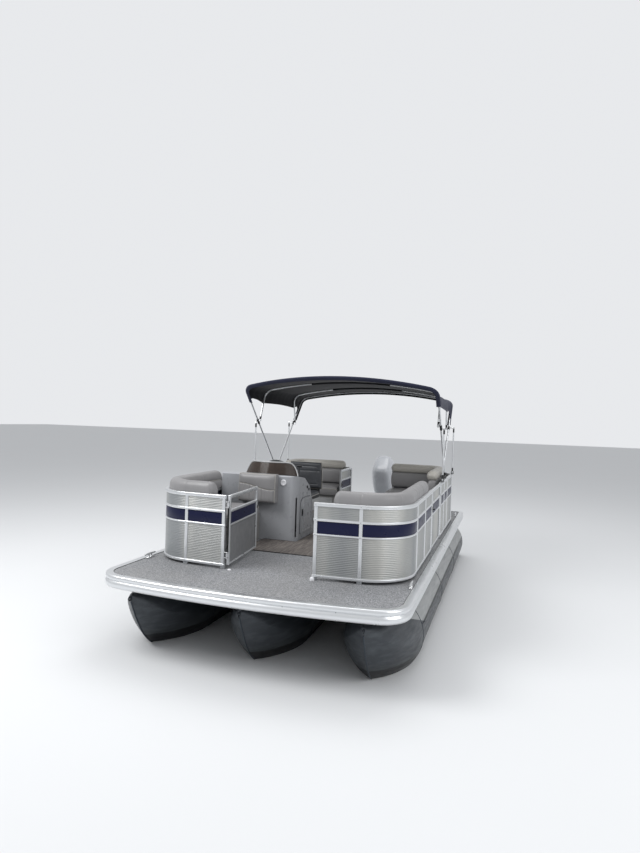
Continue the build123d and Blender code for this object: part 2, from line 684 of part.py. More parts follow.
def console():
    """Moulded console, hollow behind its storage door."""
    depth = CONSOLE_INNER - CONSOLE_OUTER
    body = Pos(0, CONSOLE_INNER, 0) * extrude(Plane.XZ * console_side(), depth)
    corner = body.edges().filter_by(Axis.Z).group_by(Axis.Y)[-1].sort_by(Axis.X)[-1]
    body = fillet(corner, 90)
    w = CONSOLE_WALL
    store = box(STORE_FRONT, STORE_AFT, CONSOLE_OUTER + w + 60, CONSOLE_INNER - w, STORE_LOW, STORE_HIGH)
    hole = box(DOOR_FRONT - DOOR_LAP, DOOR_AFT + DOOR_LAP, CONSOLE_INNER - w - 5, CONSOLE_INNER + 5,
               DOOR_LOW + DOOR_LAP, DOOR_HIGH - DOOR_LAP)
    column_end = Vector(*WHEEL_CENTRE) - wheel_axis * (HUB_BACK + FIT)
    column = rod(tuple(column_end), tuple(column_end - wheel_axis * 130), 24)
    body = body - store - hole + column
    x, y = DOOR_HINGE
    for z in CONSOLE_KNUCKLES:
        body = body + knuckle(z, x - KNUCKLE_RADIUS, CONSOLE_INNER - 1)
    low = CONSOLE_KNUCKLES[0] - KNUCKLE_HALF
    high = CONSOLE_KNUCKLES[1] + KNUCKLE_HALF
    return body + rod((x, y, low), (x, y, high), DOOR_PIN)


nodes["console"] = console()


def console_door():
    """Storage door with round upper corners and a raised panel, and its half of the hinge."""
    middle = (DOOR_FRONT + DOOR_AFT) / 2
    outline = Pos(middle, (DOOR_LOW + DOOR_HIGH) / 2) * Rectangle(DOOR_FRONT - DOOR_AFT, DOOR_HIGH - DOOR_LOW)
    outline = fillet(outline.vertices().sort_by(Axis.Y)[-2:], 90)
    y = CONSOLE_INNER + 0.5
    slab = Pos(0, y + DOOR_THICK, 0) * extrude(Plane.XZ * outline, DOOR_THICK)
    panel = Pos(middle, (DOOR_LOW + DOOR_HIGH) / 2 - 5) * Rectangle(DOOR_FRONT - DOOR_AFT - 110,
                                                                   DOOR_HIGH - DOOR_LOW - 110)
    panel = fillet(panel.vertices().sort_by(Axis.Y)[-2:], 60)
    door = slab + Pos(0, y + DOOR_THICK + 8, 0) * extrude(Plane.XZ * panel, 9)
    pin_x, pin_y = DOOR_HINGE
    for z in CONSOLE_KNUCKLES:
        room = KNUCKLE_HALF + 1
        door = door - box(pin_x - 20, pin_x + KNUCKLE_RADIUS + 3, y - 1, y + 30, z - room, z + room)
    for z in DOOR_KNUCKLES:
        door = door + knuckle(z, DOOR_AFT + 6, pin_y + 4)
    return door - rod((pin_x, pin_y, DOOR_LOW), (pin_x, pin_y, DOOR_HIGH), DOOR_PIN + FIT)


nodes["console_door"] = console_door()


def windscreen():
    """Low smoked screen: a bowed strip that leans aft, with round upper corners."""
    faces = []
    for z, shift, trim in ((SCREEN_LOW, 0.0, 0.0), (SCREEN_HIGH, SCREEN_LEAN, 60.0)):
        arcs = []
        for inset in (0.0, SCREEN_THICK):
            end = SCREEN_HALF - inset - trim
            arcs.append(ThreePointArc((SCREEN_X + shift, SCREEN_Y - end), (SCREEN_X + SCREEN_BOW + shift - inset, SCREEN_Y),
                                      (SCREEN_X + shift, SCREEN_Y + end)))
        ends = [Line(arcs[0] @ 0, arcs[1] @ 0), Line(arcs[0] @ 1, arcs[1] @ 1)]
        faces.append(Pos(0, 0, z) * make_face(arcs + ends))
    slope = (CONSOLE_TOP - DASH_TOP[1]) / (CONSOLE_FRONT - CONSOLE_EDGE - DASH_TOP[0])
    near, far = CONSOLE_FRONT + 100, CONSOLE_FRONT - 400
    line = [(x, DASH_TOP[1] + slope * (x - DASH_TOP[0]) + FIT) for x in (near, far)]
    below = make_face(Polyline(line[0], line[1], (far, 0), (near, 0), close=True).edges())
    front_view = Pos(SCREEN_Y, SCREEN_HIGH / 2) * Rectangle(2 * SCREEN_HALF - 40, SCREEN_HIGH)
    front_view = fillet(front_view.vertices().sort_by(Axis.Y)[-2:], SCREEN_CORNER)
    kept = Pos(far, 0, 0) * extrude(Plane.YZ * front_view, near - far)
    return (loft(faces, ruled=True) & kept) - extrude(Plane.XZ * below, 2 * HALF_BEAM, both=True)


nodes["windscreen"] = windscreen()

def steering_wheel():
    """Rim, three spokes and hub."""
    rim = wheel_plane * Torus(WHEEL_RADIUS, WHEEL_RIM)
    hub = wheel_plane * Pos(0, 0, 25 - HUB_BACK) * Cylinder(34, 50)
    pieces = [rim, hub]
    for angle in (0, 90, 180):
        spoke = wheel_plane * Rot(0, 0, angle) * Pos(WHEEL_RADIUS / 2, 0, -6) * Box(WHEEL_RADIUS, 26, 9)
        pieces.append(spoke)
    return fuse(pieces)


nodes["steering_wheel"] = steering_wheel()

# Remote control: side box and lever, inboard of the wheel
dash_run = Vector(DASH_TOP[0] - DASH_FOOT[0], 0, DASH_TOP[1] - DASH_FOOT[1]).normalized()
dash_normal = Vector(-dash_run.Z, 0, dash_run.X)
THROTTLE_Y = -350.0
throttle_foot = Vector(DASH_FOOT[0], THROTTLE_Y, DASH_FOOT[1]) + dash_run * 110
throttle_plane = Plane(origin=throttle_foot, x_dir=(0, 1, 0), z_dir=dash_normal)
lever = throttle_foot + dash_normal * 36
grip = lever + Vector(-20, 0, 140)
nodes["throttle"] = (
    throttle_plane * Pos(0, 0, 20) * Box(64, 120, 40)
    + rod(tuple(lever - dash_normal * 10), tuple(grip), 8)
    + rod(tuple(grip - Vector(0, 28, 0)), tuple(grip + Vector(0, 28, 0)), 14)
)

# Helm chair on a pedestal
CHAIR_X = CONSOLE_FRONT - 1060.0
CHAIR_Y = CONSOLE_INNER - 365.0
PEDESTAL_TOP = 300.0
CHAIR_HALF = 240.0
CHAIR_BACK_TOP = 765.0
nodes["helm_pedestal"] = (
    Pos(CHAIR_X, CHAIR_Y, 6) * Cylinder(150, 12)
    + Pos(CHAIR_X, CHAIR_Y, PEDESTAL_TOP / 2) * Cylinder(36, PEDESTAL_TOP)
)
seat_face = Pos(CHAIR_X, CHAIR_Y) * Rectangle(460, 2 * CHAIR_HALF)
back_pad = box(CHAIR_X - 300, CHAIR_X - 200, CHAIR_Y - CHAIR_HALF, CHAIR_Y + CHAIR_HALF,
               PEDESTAL_TOP + 60, CHAIR_BACK_TOP)
back_pad = fillet(back_pad.edges().group_by(Axis.Z)[-1], 30)
nodes["helm_chair"] = (
    Pos(CHAIR_X, CHAIR_Y, PEDESTAL_TOP + FIT + 11) * Box(300, 300, 22)
    + cushion(seat_face, PEDESTAL_TOP + 22, PEDESTAL_TOP + 130)
    + back_pad
)

# Bimini top: bows are drawn in their own plane, u across the boat and v along the legs
REAR_Y = FENCE_HALF - 71.0
FRONT_Y = FENCE_HALF - 41.0
STRUT_Y = FENCE_HALF - 4.0
STRUT_RADIUS = 9.0
tube_r = BIMINI_TUBE / 2
EYE_RADIUS = 13.0
EYE_HALF = 12.0
PIVOT_PIN = 5.0
FRONT_ANGLE = 44.6
REAR_ANGLE = 134.2
FRONT_REACH = 1630.0
REAR_REACH = 1520.0
FRONT_SECOND_AT = 890.0
REAR_SECOND_AT = 822.0
FRONT_SECOND_ANGLE = 112.0
REAR_SECOND_ANGLE = 77.8
FRONT_SECOND_REACH = 545.0
REAR_SECOND_REACH = 535.0
FRONT_STRUT_AT = 850.0
REAR_STRUT_AT = 840.0
SECOND_STEP = 30.0


def direction(angle):
    """Unit vector in the boat's side view, from the bow upwards."""
    return Vector(cos(radians(angle)), 0, sin(radians(angle)))


def along_y(x, z, y0, y1, radius):
    """Round bar across the boat at one x and z."""
    return rod((x, y0, z), (x, y1, z), radius)


pivot = Vector(BIMINI_X, 0, BIMINI_Z)
front_dir = direction(FRONT_ANGLE)
rear_dir = direction(REAR_ANGLE)
front_second_foot = pivot + front_dir * FRONT_SECOND_AT
rear_second_foot = pivot + rear_dir * REAR_SECOND_AT
front_strut_top = pivot + front_dir * FRONT_STRUT_AT
rear_strut_top = pivot + rear_dir * REAR_STRUT_AT
# Bows: name, foot, angle, reach, half width, rise of the arch, canvas lift, canvas end on the legs
BOWS = (
    ("bimini_front_bow", pivot, FRONT_ANGLE, FRONT_REACH, FRONT_Y, BIMINI_RISE, 17.0, 1215.0),
    ("bimini_front_second_bow", front_second_foot, FRONT_SECOND_ANGLE, FRONT_SECOND_REACH,
     FRONT_Y - SECOND_STEP, 130.0, 12.5, 290.0),
    ("bimini_rear_second_bow", rear_second_foot, REAR_SECOND_ANGLE, REAR_SECOND_REACH,
     REAR_Y - SECOND_STEP, 130.0, 12.5, 290.0),
    ("bimini_rear_bow", pivot, REAR_ANGLE, REAR_REACH, REAR_Y, BIMINI_RISE, 17.0, 900.0),
)


def bow(foot, angle, reach, half, rise):
    """Bent tube: two legs that end in eyes, round corners and an arched middle."""
    shape = Outline(reach, rise, half, BIMINI_CORNER, 0.0, 10.0)
    plane = Plane(origin=foot, x_dir=direction(angle), z_dir=direction(angle).cross(Vector(0, 1, 0)))
    edges = shape.run(0.0, 0.0, 0.0, 1) + shape.run(0.0, 0.0, 0.0, -1)
    path = Wire([plane * edge for edge in edges])
    section = Plane(origin=path @ 0, z_dir=path % 0) * Circle(tube_r)
    tube = sweep(section, path=path)
    for side in (1, -1):
        inner, outer = sorted(((half - EYE_HALF) * side, (half + EYE_HALF) * side))
        tube = tube + along_y(foot.X, foot.Z, inner, outer, EYE_RADIUS)
        tube = tube - along_y(foot.X, foot.Z, inner - 1, outer + 1, PIVOT_PIN + FIT)
    return tube


def bosses(at, y0, y1, radius):
    """Short bars across the boat on both sides, which carry a strut or a second bow."""
    return both_sides(along_y(at.X, at.Z, y0, y1, radius))


for name, foot, angle, reach, half, rise, lift, end in BOWS:
    nodes[name] = bow(foot, angle, reach, half, rise)
for name, y, at, second_foot in (
    ("bimini_front_bow", FRONT_Y, front_strut_top, front_second_foot),
    ("bimini_rear_bow", REAR_Y, rear_strut_top, rear_second_foot),
):
    boss_end = STRUT_Y - STRUT_RADIUS - FIT
    tube = nodes[name]
    for piece in bosses(at, y, boss_end, 8.0):
        tube = tube + piece
    for piece in bosses(second_foot, y - SECOND_STEP - EYE_HALF - 2, y, PIVOT_PIN):
        tube = tube + piece
    nodes[name] = tube


def strut(x, top):
    """Upright of the bimini from its foot on the fence to the bow, with an eye at its foot."""
    bar = rod((x, STRUT_Y, BIMINI_Z), (x, STRUT_Y, top), STRUT_RADIUS)
    foot = along_y(x, BIMINI_Z, STRUT_Y - STRUT_RADIUS, STRUT_Y + STRUT_RADIUS, EYE_RADIUS)
    bore = along_y(x, BIMINI_Z, STRUT_Y - 20, STRUT_Y + 20, PIVOT_PIN + FIT)
    head = along_y(x, top, STRUT_Y - STRUT_RADIUS, STRUT_Y + STRUT_RADIUS, EYE_RADIUS)
    return both_sides(bar + foot + head - bore)


nodes["bimini_front_struts"] = strut(front_strut_top.X, front_strut_top.Z)
nodes["bimini_rear_struts"] = strut(rear_strut_top.X, rear_strut_top.Z)

MOUNT_PLATE = 4.0
CHEEK = 5.0


def bimini_mount(x, y0, y1, half_length):
    """Foot plate on the fence's top rail with two cheeks and the pin between them."""
    top = FENCE_TOP + MOUNT_PLATE
    plate = box(x - half_length, x + half_length, y0, y1, FENCE_TOP, top)
    pieces = [plate]
    for y in (y0, y1 - CHEEK):
        cheek = box(x - 16, x + 16, y, y + CHEEK, top, BIMINI_Z)
        pieces.append(cheek + along_y(x, BIMINI_Z, y, y + CHEEK, 16))
    pieces.append(along_y(x, BIMINI_Z, y0, y1, PIVOT_PIN))
    return both_sides(fuse(pieces))


nodes["bimini_mounts"] = (
    bimini_mount(BIMINI_X, REAR_Y - tube_r - CHEEK - 3, FRONT_Y + tube_r + CHEEK + 3, 42)
    + bimini_mount(front_strut_top.X, STRUT_Y - STRUT_RADIUS - CHEEK - 2, STRUT_Y + STRUT_RADIUS + CHEEK + 2, 26)
    + bimini_mount(rear_strut_top.X, STRUT_Y - STRUT_RADIUS - CHEEK - 2, STRUT_Y + STRUT_RADIUS + CHEEK + 2, 26)
)


def canvas_section(foot, angle, reach, half, rise, lift, end):
    """Strip of canvas over one bow, in the bow's plane."""
    shape = Outline(reach, rise, half, BIMINI_CORNER, 0.0, 10.0)
    plane = Plane(origin=foot, x_dir=direction(angle), z_dir=direction(angle).cross(Vector(0, 1, 0)))
    outer = shape.run(-lift - CANVAS, 0.0, end, 1) + shape.run(-lift - CANVAS, 0.0, end, -1)
    inner = shape.run(-lift, 0.0, end, 1) + shape.run(-lift, 0.0, end, -1)
    ends = [Line(outer[2] @ 1, inner[2] @ 1), Line(outer[5] @ 1, inner[5] @ 1)]
    return plane * make_face(outer + inner + ends)


nodes["bimini_canvas"] = loft(
    [canvas_section(foot, angle, reach, half, rise, lift, end)
     for name, foot, angle, reach, half, rise, lift, end in BOWS], ruled=True)

# Motor pod behind the middle tube, with the transom that the motor hangs on
POD_HALF = 300.0
POD_BOTTOM = -600.0
TRANSOM_FRONT = TILT_X + 70.0
TRANSOM_AFT = TILT_X + 30.0
TRANSOM_TOP = -40.0
beam_low = -DECK_THICK - BEAM_HEIGHT
pod = box(CENTER_TUBE_AFT - 2, TRANSOM_FRONT - 1, -POD_HALF, POD_HALF, POD_BOTTOM, beam_low)
pod = chamfer(pod.edges().filter_by(Axis.X).sort_by(Axis.Z)[:2], 110)
nodes["motor_pod"] = pod + box(TRANSOM_FRONT, TRANSOM_AFT, -POD_HALF + 110, POD_HALF - 110,
                               POD_BOTTOM + 60, TRANSOM_TOP)

# Motor in its running position: clamp, swivel, leg, housing, engine, propeller
ARM_IN = 95.0
ARM_THICK = 16.0
TILT_TUBE = 14.0
BOSS = 24.0
STEER_X = TILT_X - STEER_BACK
KINGPIN = 20.0
GEAR_Z = -880.0
SKEG_Z = -1060.0
PROP_SHAFT = 12.0
HUB_FRONT = STEER_X - 252
TRAY_LOW = 40.0
TRAY_HIGH = 62.0
COWL_TOP = 620.0
COWL_SOFT = 40.0
BLADES = 3
PITCH = 380.0


def clamp_bracket():
    """Two arms that hook over the transom, joined by the tilt tube."""
    pieces = [along_y(TILT_X, TILT_Z, -ARM_IN - ARM_THICK, ARM_IN + ARM_THICK, TILT_TUBE)]
    slot = box(TRANSOM_FRONT + FIT, TRANSOM_AFT - FIT, -200, 200, -700, TRANSOM_TOP + FIT)
    for side in (1, -1):
        y0, y1 = sorted((ARM_IN * side, (ARM_IN + ARM_THICK) * side))
        hook = box(TRANSOM_FRONT + 18, TILT_X - 8, y0, y1, -260, -12)
        front_cut = box(TRANSOM_FRONT + FIT, TRANSOM_FRONT + 40, y0, y1, -300, beam_low + FIT)
        boss = along_y(TILT_X, TILT_Z, y0, y1, BOSS)
        web = box(TILT_X + 20, TILT_X - 20, y0, y1, -60, 0)
        pieces.append(hook - slot - front_cut + boss + web)
    return fuse(pieces)


def swivel_bracket():
    """Head on the tilt tube and the upright barrel that the leg steers in."""
    head = along_y(TILT_X, TILT_Z, -ARM_IN + 5, ARM_IN - 5, 28)
    arm = box(TILT_X - 5, STEER_X, -42, 42, -330, 8)
    barrel = rod((STEER_X, 0, -345), (STEER_X, 0, 10), 38)
    clear_head = along_y(TILT_X, TILT_Z, -ARM_IN, ARM_IN, TILT_TUBE + FIT)
    clear_pin = rod((STEER_X, 0, -400), (STEER_X, 0, 60), KINGPIN + FIT)
    return head + arm + barrel - clear_head - clear_pin


def leg():
    """Kingpin, tray, midsection, plate, gear housing and skeg."""
    kingpin = rod((STEER_X, 0, -385), (STEER_X, 0, TRAY_HIGH - 2), KINGPIN)
    tray = box(STEER_X + 50, STEER_X - 430, -145, 145, TRAY_LOW, TRAY_HIGH)
    tray = fillet(tray.edges().filter_by(Axis.Z), 60)
    neck = box(STEER_X + 45, STEER_X - 210, -50, 50, 18, TRAY_LOW)
    yoke = box(STEER_X + 34, STEER_X - 120, -48, 48, -388, -351)
    middle = box(STEER_X - 60, STEER_X - 215, -62, 62, -690, TRAY_LOW)
    middle = fillet(middle.edges().filter_by(Axis.Z), 40)
    plate = box(STEER_X - 30, STEER_X - 350, -92, 92, -700, -690)
    plate = fillet(plate.edges().filter_by(Axis.Z), 45)
    stem = box(STEER_X - 60, STEER_X - 205, -24, 24, GEAR_Z, -699)
    torpedo = rod((STEER_X - 20, 0, GEAR_Z), (STEER_X - 245, 0, GEAR_Z), 46)
    nose = Pos(STEER_X - 20, 0, GEAR_Z) * Sphere(46)
    skeg_side = make_face(Polyline((STEER_X - 60, GEAR_Z), (STEER_X - 225, GEAR_Z), (STEER_X - 235, SKEG_Z),
                                   (STEER_X - 165, SKEG_Z), close=True).edges())
    skeg = Pos(0, 5, 0) * extrude(Plane.XZ * skeg_side, 10)
    shaft = rod((STEER_X - 240, 0, GEAR_Z), (HUB_FRONT - 80, 0, GEAR_Z), PROP_SHAFT)
    return fuse([kingpin, tray, neck, yoke, middle, plate, stem, torpedo, nose, skeg, shaft])


def cowling_loft(grow):
    """Housing's outer form, or its inner one with a negative growth."""
    # Columns: height, fore-aft shift, half length, half width
    rings = ((TRAY_HIGH + FIT, -190.0, 240.0, 150.0), (300.0, -195.0, 258.0, 168.0),
             (500.0, -185.0, 240.0, 158.0), (COWL_TOP, -175.0, 190.0, 130.0))
    faces = []
    for z, shift, long, wide in rings:
        faces.append(Pos(STEER_X + shift, 0, z) * RectangleRounded(2 * (long + grow), 2 * (wide + grow), 85))
    form = loft(faces)
    return fillet(form.faces().sort_by(Axis.Z)[-1].edges(), COWL_SOFT)


nodes["outboard_clamp"] = clamp_bracket()
nodes["outboard_swivel"] = swivel_bracket()
nodes["outboard_leg"] = leg()
inner_cowl = cowling_loft(-9.0) & box(STEER_X + 300, STEER_X - 600, -300, 300, 0, COWL_TOP - 12)
nodes["outboard_cowling"] = cowling_loft(0.0) - inner_cowl
nodes["outboard_engine"] = box(STEER_X - 40, STEER_X - 350, -105, 105, TRAY_HIGH, 470)


def blade():
    """Propeller blade on the shaft's +Z side: sections that turn with the pitch as they go out."""
    # Columns: radius, chord, thickness, all measured on the blade
    sections = ((26.0, 60.0, 12.0), (75.0, 106.0, 8.0), (120.0, 98.0, 5.5), (156.0, 44.0, 3.0))
    faces = []
    for radius, chord, thick in sections:
        turn = atan2(PITCH, 2 * pi * radius)
        plane = Plane(origin=(0, 0, radius), x_dir=(sin(turn), cos(turn), 0), z_dir=(0, 0, 1))
        faces.append(plane * Ellipse(chord / 2, thick / 2))
    return loft(faces)


def propeller():
    """Hub with its pitched blades."""
    pieces = [rod((HUB_FRONT, 0, GEAR_Z), (HUB_FRONT - 95, 0, GEAR_Z), 38)]
    for index in range(BLADES):
        pieces.append(Pos(HUB_FRONT - 48, 0, GEAR_Z) * Rot(index * 360 / BLADES, 0, 0) * blade())
    return fuse(pieces) - rod((HUB_FRONT + 5, 0, GEAR_Z), (HUB_FRONT - 81, 0, GEAR_Z), PROP_SHAFT + FIT)


nodes["propeller"] = propeller()
tilt_axis = Axis((TILT_X, 0, TILT_Z), (0, 1, 0))
for name in ("outboard_swivel", "outboard_leg", "outboard_cowling", "outboard_engine", "propeller"):
    nodes[name] = nodes[name].rotate(tilt_axis, TILT_STORED)

# Boarding ladder, folded forward onto the deck beside the motor
LADDER_X = -DECK_LENGTH - 25.0
LADDER_Z = 30.0
LADDER_Y = (700.0, 980.0)
LADDER_LENGTH = 610.0
LADDER_TUBE = 11.0


def ladder():
    """Two stiles with an eye at the hinge and three steps."""
    pieces = []
    for y in LADDER_Y:
        pieces.append(rod((LADDER_X, y, LADDER_Z), (LADDER_X + LADDER_LENGTH, y, LADDER_Z), LADDER_TUBE))
        pieces.append(along_y(LADDER_X, LADDER_Z, y - LADDER_TUBE, y + LADDER_TUBE, EYE_RADIUS))
    for step in (190.0, 390.0, 590.0):
        pieces.append(box(LADDER_X + step - 32, LADDER_X + step + 12, LADDER_Y[0], LADDER_Y[1],
                          LADDER_Z - 9, LADDER_Z + 9))
    body = fuse(pieces)
    return body - along_y(LADDER_X, LADDER_Z, LADDER_Y[0] - 30, LADDER_Y[1] + 30, PIVOT_PIN + FIT)


def ladder_bracket():
    """Lugs on the rub rail with the ladder's hinge pins."""
    pieces = []
    for y in LADDER_Y:
        half = LADDER_TUBE + 2 + CHEEK
        parts = [box(-DECK_LENGTH + 60, -DECK_LENGTH - 6, y - half, y + half, RAIL_LIP_THICK, RAIL_LIP_THICK + 6)]
        for low in (y - half, y + half - CHEEK):
            parts.append(box(LADDER_X + 45, LADDER_X - 14, low, low + CHEEK, RAIL_LIP_THICK, LADDER_Z + 14))
        parts.append(along_y(LADDER_X, LADDER_Z, y - half, y + half, PIVOT_PIN))
        pieces.append(fuse(parts))
    return pieces


nodes["boarding_ladder"] = ladder()
nodes["ladder_brackets"] = ladder_bracket()


def cleat(x, y):
    """Deck cleat: foot, two legs and horns."""
    foot = box(x - 45, x + 45, y - 14, y + 14, 0, 7)
    legs = box(x - 26, x - 12, y - 8, y + 8, 6, 32) + box(x + 12, x + 26, y - 8, y + 8, 6, 32)
    horns = rod((x - 85, y, 36), (x + 85, y, 36), 8)
    return foot + legs + horns


CLEAT_Y = HALF_BEAM - 83.0
CLEAT_FORE = -760.0
CLEAT_AFT = -DECK_LENGTH + 480.0
nodes["cleats"] = both_sides(cleat(CLEAT_FORE, CLEAT_Y)) + both_sides(cleat(CLEAT_AFT, CLEAT_Y))


def lifted():
    """Every solid moved so that the origin is under the middle of the boat, on the floor."""
    groups = {}
    for name, shape in nodes.items():
        groups[name] = []
        for piece in (shape if isinstance(shape, list) else [shape]):
            groups[name] += piece.solids()
    boxes = [solid.bounding_box() for group in groups.values() for solid in group]
    low = Vector(min(b.min.X for b in boxes), min(b.min.Y for b in boxes), min(b.min.Z for b in boxes))
    high = Vector(max(b.max.X for b in boxes), max(b.max.Y for b in boxes), max(b.max.Z for b in boxes))
    shift = Vector(-(low.X + high.X) / 2, -(low.Y + high.Y) / 2, -low.Z)
    return shift, {name: [solid.translate(shift) for solid in group] for name, group in groups.items()}


shift, placed = lifted()
print("origin moved by", round(shift.X, 3), round(shift.Y, 3), round(shift.Z, 3))
os.makedirs("parts", exist_ok=True)
for name, group in placed.items():
    whole = Compound(children=group) if len(group) > 1 else group[0]
    export_step(whole, "parts/" + name + ".step")
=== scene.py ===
from math import acos, asin, atan2, cos, dist, exp, pi, radians, sin, sqrt, tan

import bmesh
import bpy
import numpy as np
from bpy.props import FloatProperty, FloatVectorProperty, PointerProperty
from mathutils import Matrix, Vector


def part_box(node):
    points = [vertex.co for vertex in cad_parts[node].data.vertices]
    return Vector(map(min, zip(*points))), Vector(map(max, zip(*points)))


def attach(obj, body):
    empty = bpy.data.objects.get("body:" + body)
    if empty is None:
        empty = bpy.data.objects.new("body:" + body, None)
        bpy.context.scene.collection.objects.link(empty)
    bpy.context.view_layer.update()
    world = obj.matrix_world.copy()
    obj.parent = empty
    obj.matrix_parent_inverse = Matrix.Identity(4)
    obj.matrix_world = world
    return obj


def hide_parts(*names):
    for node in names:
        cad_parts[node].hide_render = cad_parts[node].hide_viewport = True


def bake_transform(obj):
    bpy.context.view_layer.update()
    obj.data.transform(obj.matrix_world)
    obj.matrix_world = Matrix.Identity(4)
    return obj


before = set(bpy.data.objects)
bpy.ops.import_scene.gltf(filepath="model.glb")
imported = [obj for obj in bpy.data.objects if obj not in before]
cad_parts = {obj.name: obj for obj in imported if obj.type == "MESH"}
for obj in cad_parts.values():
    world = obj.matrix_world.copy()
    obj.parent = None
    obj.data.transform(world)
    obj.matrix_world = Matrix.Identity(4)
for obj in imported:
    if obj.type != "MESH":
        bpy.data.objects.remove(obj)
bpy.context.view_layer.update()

bl_info = {
    "name": "Pontoon boat",
    "version": (1, 0, 0),
    "blender": (4, 5, 0),
    "location": "3D View > Sidebar > Boat",
    "description": "Finishes, upholstery, canopy and fittings of a three-tube pontoon boat",
    "category": "Object",
}

# Metres. Pieces are laid out from the front of the rub rail on the centreline at deck height,
# with +X to the bow and +Y to port, and moved by HERE into the frame
BOW_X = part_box("rub_rail")[1].x
DECK_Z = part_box("deck")[1].z
HERE = np.array([BOW_X, 0.0, DECK_Z])
UP = np.array([0.0, 0.0, 1.0])
PORT = np.array([0.0, 1.0, 0.0])
FORE = np.array([1.0, 0.0, 0.0])
TAU = 2 * pi

# Fence: heights of the four rails, as underside and top
RAIL_HEIGHTS = ((0.021, 0.046), (0.37, 0.386), (0.488, 0.51), (0.61, 0.642))
FENCE_WIDTH = 0.032
SKIN_INSET = 0.008
BOW_OPENING = 0.405
SIDE_GATE_FRONT = -2.14
SIDE_GATE_AFT = -2.905
STERN_STARBOARD = -0.285
STERN_PORT = 0.335
FENCE_STERN = -4.4
SEAT_TOP = 0.41
SEAT_LOW = 0.285
SEAT_EDGE = 0.61


class Plan:
    """Outline seen from above: bowed front, round corners, straight sides and a square stern.

    The front is an arc whose radius is (half^2 + bow^2) / (2 bow). An inset keeps every arc on
    its own centre, so bands of any width stay parallel."""

    def __init__(self, front, bow, half, corner, aft, aft_corner):
        self.radius = (half * half + bow * bow) / (2 * bow)
        self.centre = front - self.radius
        self.half, self.corner, self.aft, self.aft_corner = half, corner, aft, aft_corner
        self.corner_y = half - corner
        self.corner_x = self.centre + sqrt((self.radius - corner) ** 2 - self.corner_y ** 2)
        self.turn = atan2(self.corner_y, self.corner_x - self.centre)

    def front_x(self, y, inset=0.0):
        """x of the outline's front at y, on the bowed arc or on the corner."""
        y = np.abs(np.asarray(y, float))
        bowed = self.centre + np.sqrt((self.radius - inset) ** 2 - y ** 2)
        reach = np.clip((self.corner - inset) ** 2 - (y - self.corner_y) ** 2, 0, None)
        edge = (self.radius - inset) * sin(self.turn)
        return np.where(y < edge, bowed, self.corner_x + np.sqrt(reach))

    def run(self, inset, start_y=0.0, end_x=None, stern_y=None, from_x=None, side=1, step=0.04):
        """Points and outward normals from the front round the corner to end_x or stern_y."""
        points, normals = [], []

        def arc(x, y, radius, reach, first, last):
            count = max(2, int(abs(last - first) * radius / step) + 2)
            turn = np.linspace(first, last, count)
            normals.append(np.stack([np.cos(turn), np.sin(turn)], 1))
            points.append(np.array([x, y]) + normals[-1] * reach)

        def line(start, end, normal):
            count = max(2, int(np.hypot(*np.subtract(end, start)) / step) + 1)
            points.append(np.linspace(start, end, count)[1:])
            normals.append(np.broadcast_to(normal, (count - 1, 2)))

        y_side = self.half - inset
        if from_x is None:
            first = asin(start_y / (self.radius - inset))
            if first < self.turn - 1e-4:
                arc(self.centre, 0, self.radius, self.radius - inset, first, self.turn)
            arc(self.corner_x, self.corner_y, self.corner, self.corner - inset, self.turn, pi / 2)
            start = (self.corner_x, y_side)
        else:
            start = (from_x, y_side)
            points.append(np.array([start]))
            normals.append(np.array([[0.0, 1.0]]))
        if stern_y is None:
            line(start, (end_x, y_side), (0.0, 1.0))
        else:
            x = self.aft + self.aft_corner
            line(start, (x, y_side), (0.0, 1.0))
            arc(x, self.half - self.aft_corner, self.aft_corner, self.aft_corner - inset, pi / 2, pi)
            line((self.aft + inset, self.half - self.aft_corner), (self.aft + inset, stern_y), (-1.0, 0.0))
        path, outward = np.concatenate(points), np.concatenate(normals)
        keep = np.append(True, np.hypot(*np.diff(path, axis=0).T) > 1e-6)
        flip = np.array([1.0, side])
        return path[keep] * flip, outward[keep] * flip


DECK = Plan(0.0, 0.104, 1.295, 0.245, -5.18, 0.09)
FENCE = Plan(-0.648, 0.077, 1.196, 0.4, FENCE_STERN, 0.16)
BACKS = Plan(-0.648, 0.077, 1.196, 0.4, FENCE_STERN, 0.32)


def unit(v):
    """The vectors at length one."""
    v = np.asarray(v, float)
    return v / np.linalg.norm(v, axis=-1, keepdims=True)


def shell(grid, loop=False):
    """Closed skin over a grid: columns run round, rows run along, flat caps close the ends."""
    rows, cols = grid.shape[:2]
    i = np.arange(rows if loop else rows - 1)[:, None]
    j = np.arange(cols)[None]
    k, n = (j + 1) % cols, (i + 1) % rows
    faces = np.stack([i * cols + j, i * cols + k, n * cols + k, n * cols + j], -1).reshape(-1, 4).tolist()
    if not loop:
        faces.append(list(range(cols))[::-1])
        faces.append([(rows - 1) * cols + c for c in range(cols)])
    return grid.reshape(-1, 3), faces


def open_grid(rows, cols):
    """Faces of an open grid of points, and the points round its edge in order."""
    i, j = np.arange(rows - 1)[:, None] * cols, np.arange(cols - 1)[None]
    quads = np.stack([i + j, i + j + 1, i + j + 1 + cols, i + j + cols], -1).reshape(-1, 4)
    last = (rows - 1) * cols
    return quads, np.concatenate([np.arange(cols), np.arange(1, rows) * cols + cols - 1,
                                  last + np.arange(cols - 2, -1, -1), np.arange(rows - 2, 0, -1) * cols])


def band(lower, upper):
    """Faces between two closed rows of points."""
    return np.stack([lower, upper, np.roll(upper, -1), np.roll(lower, -1)], -1)


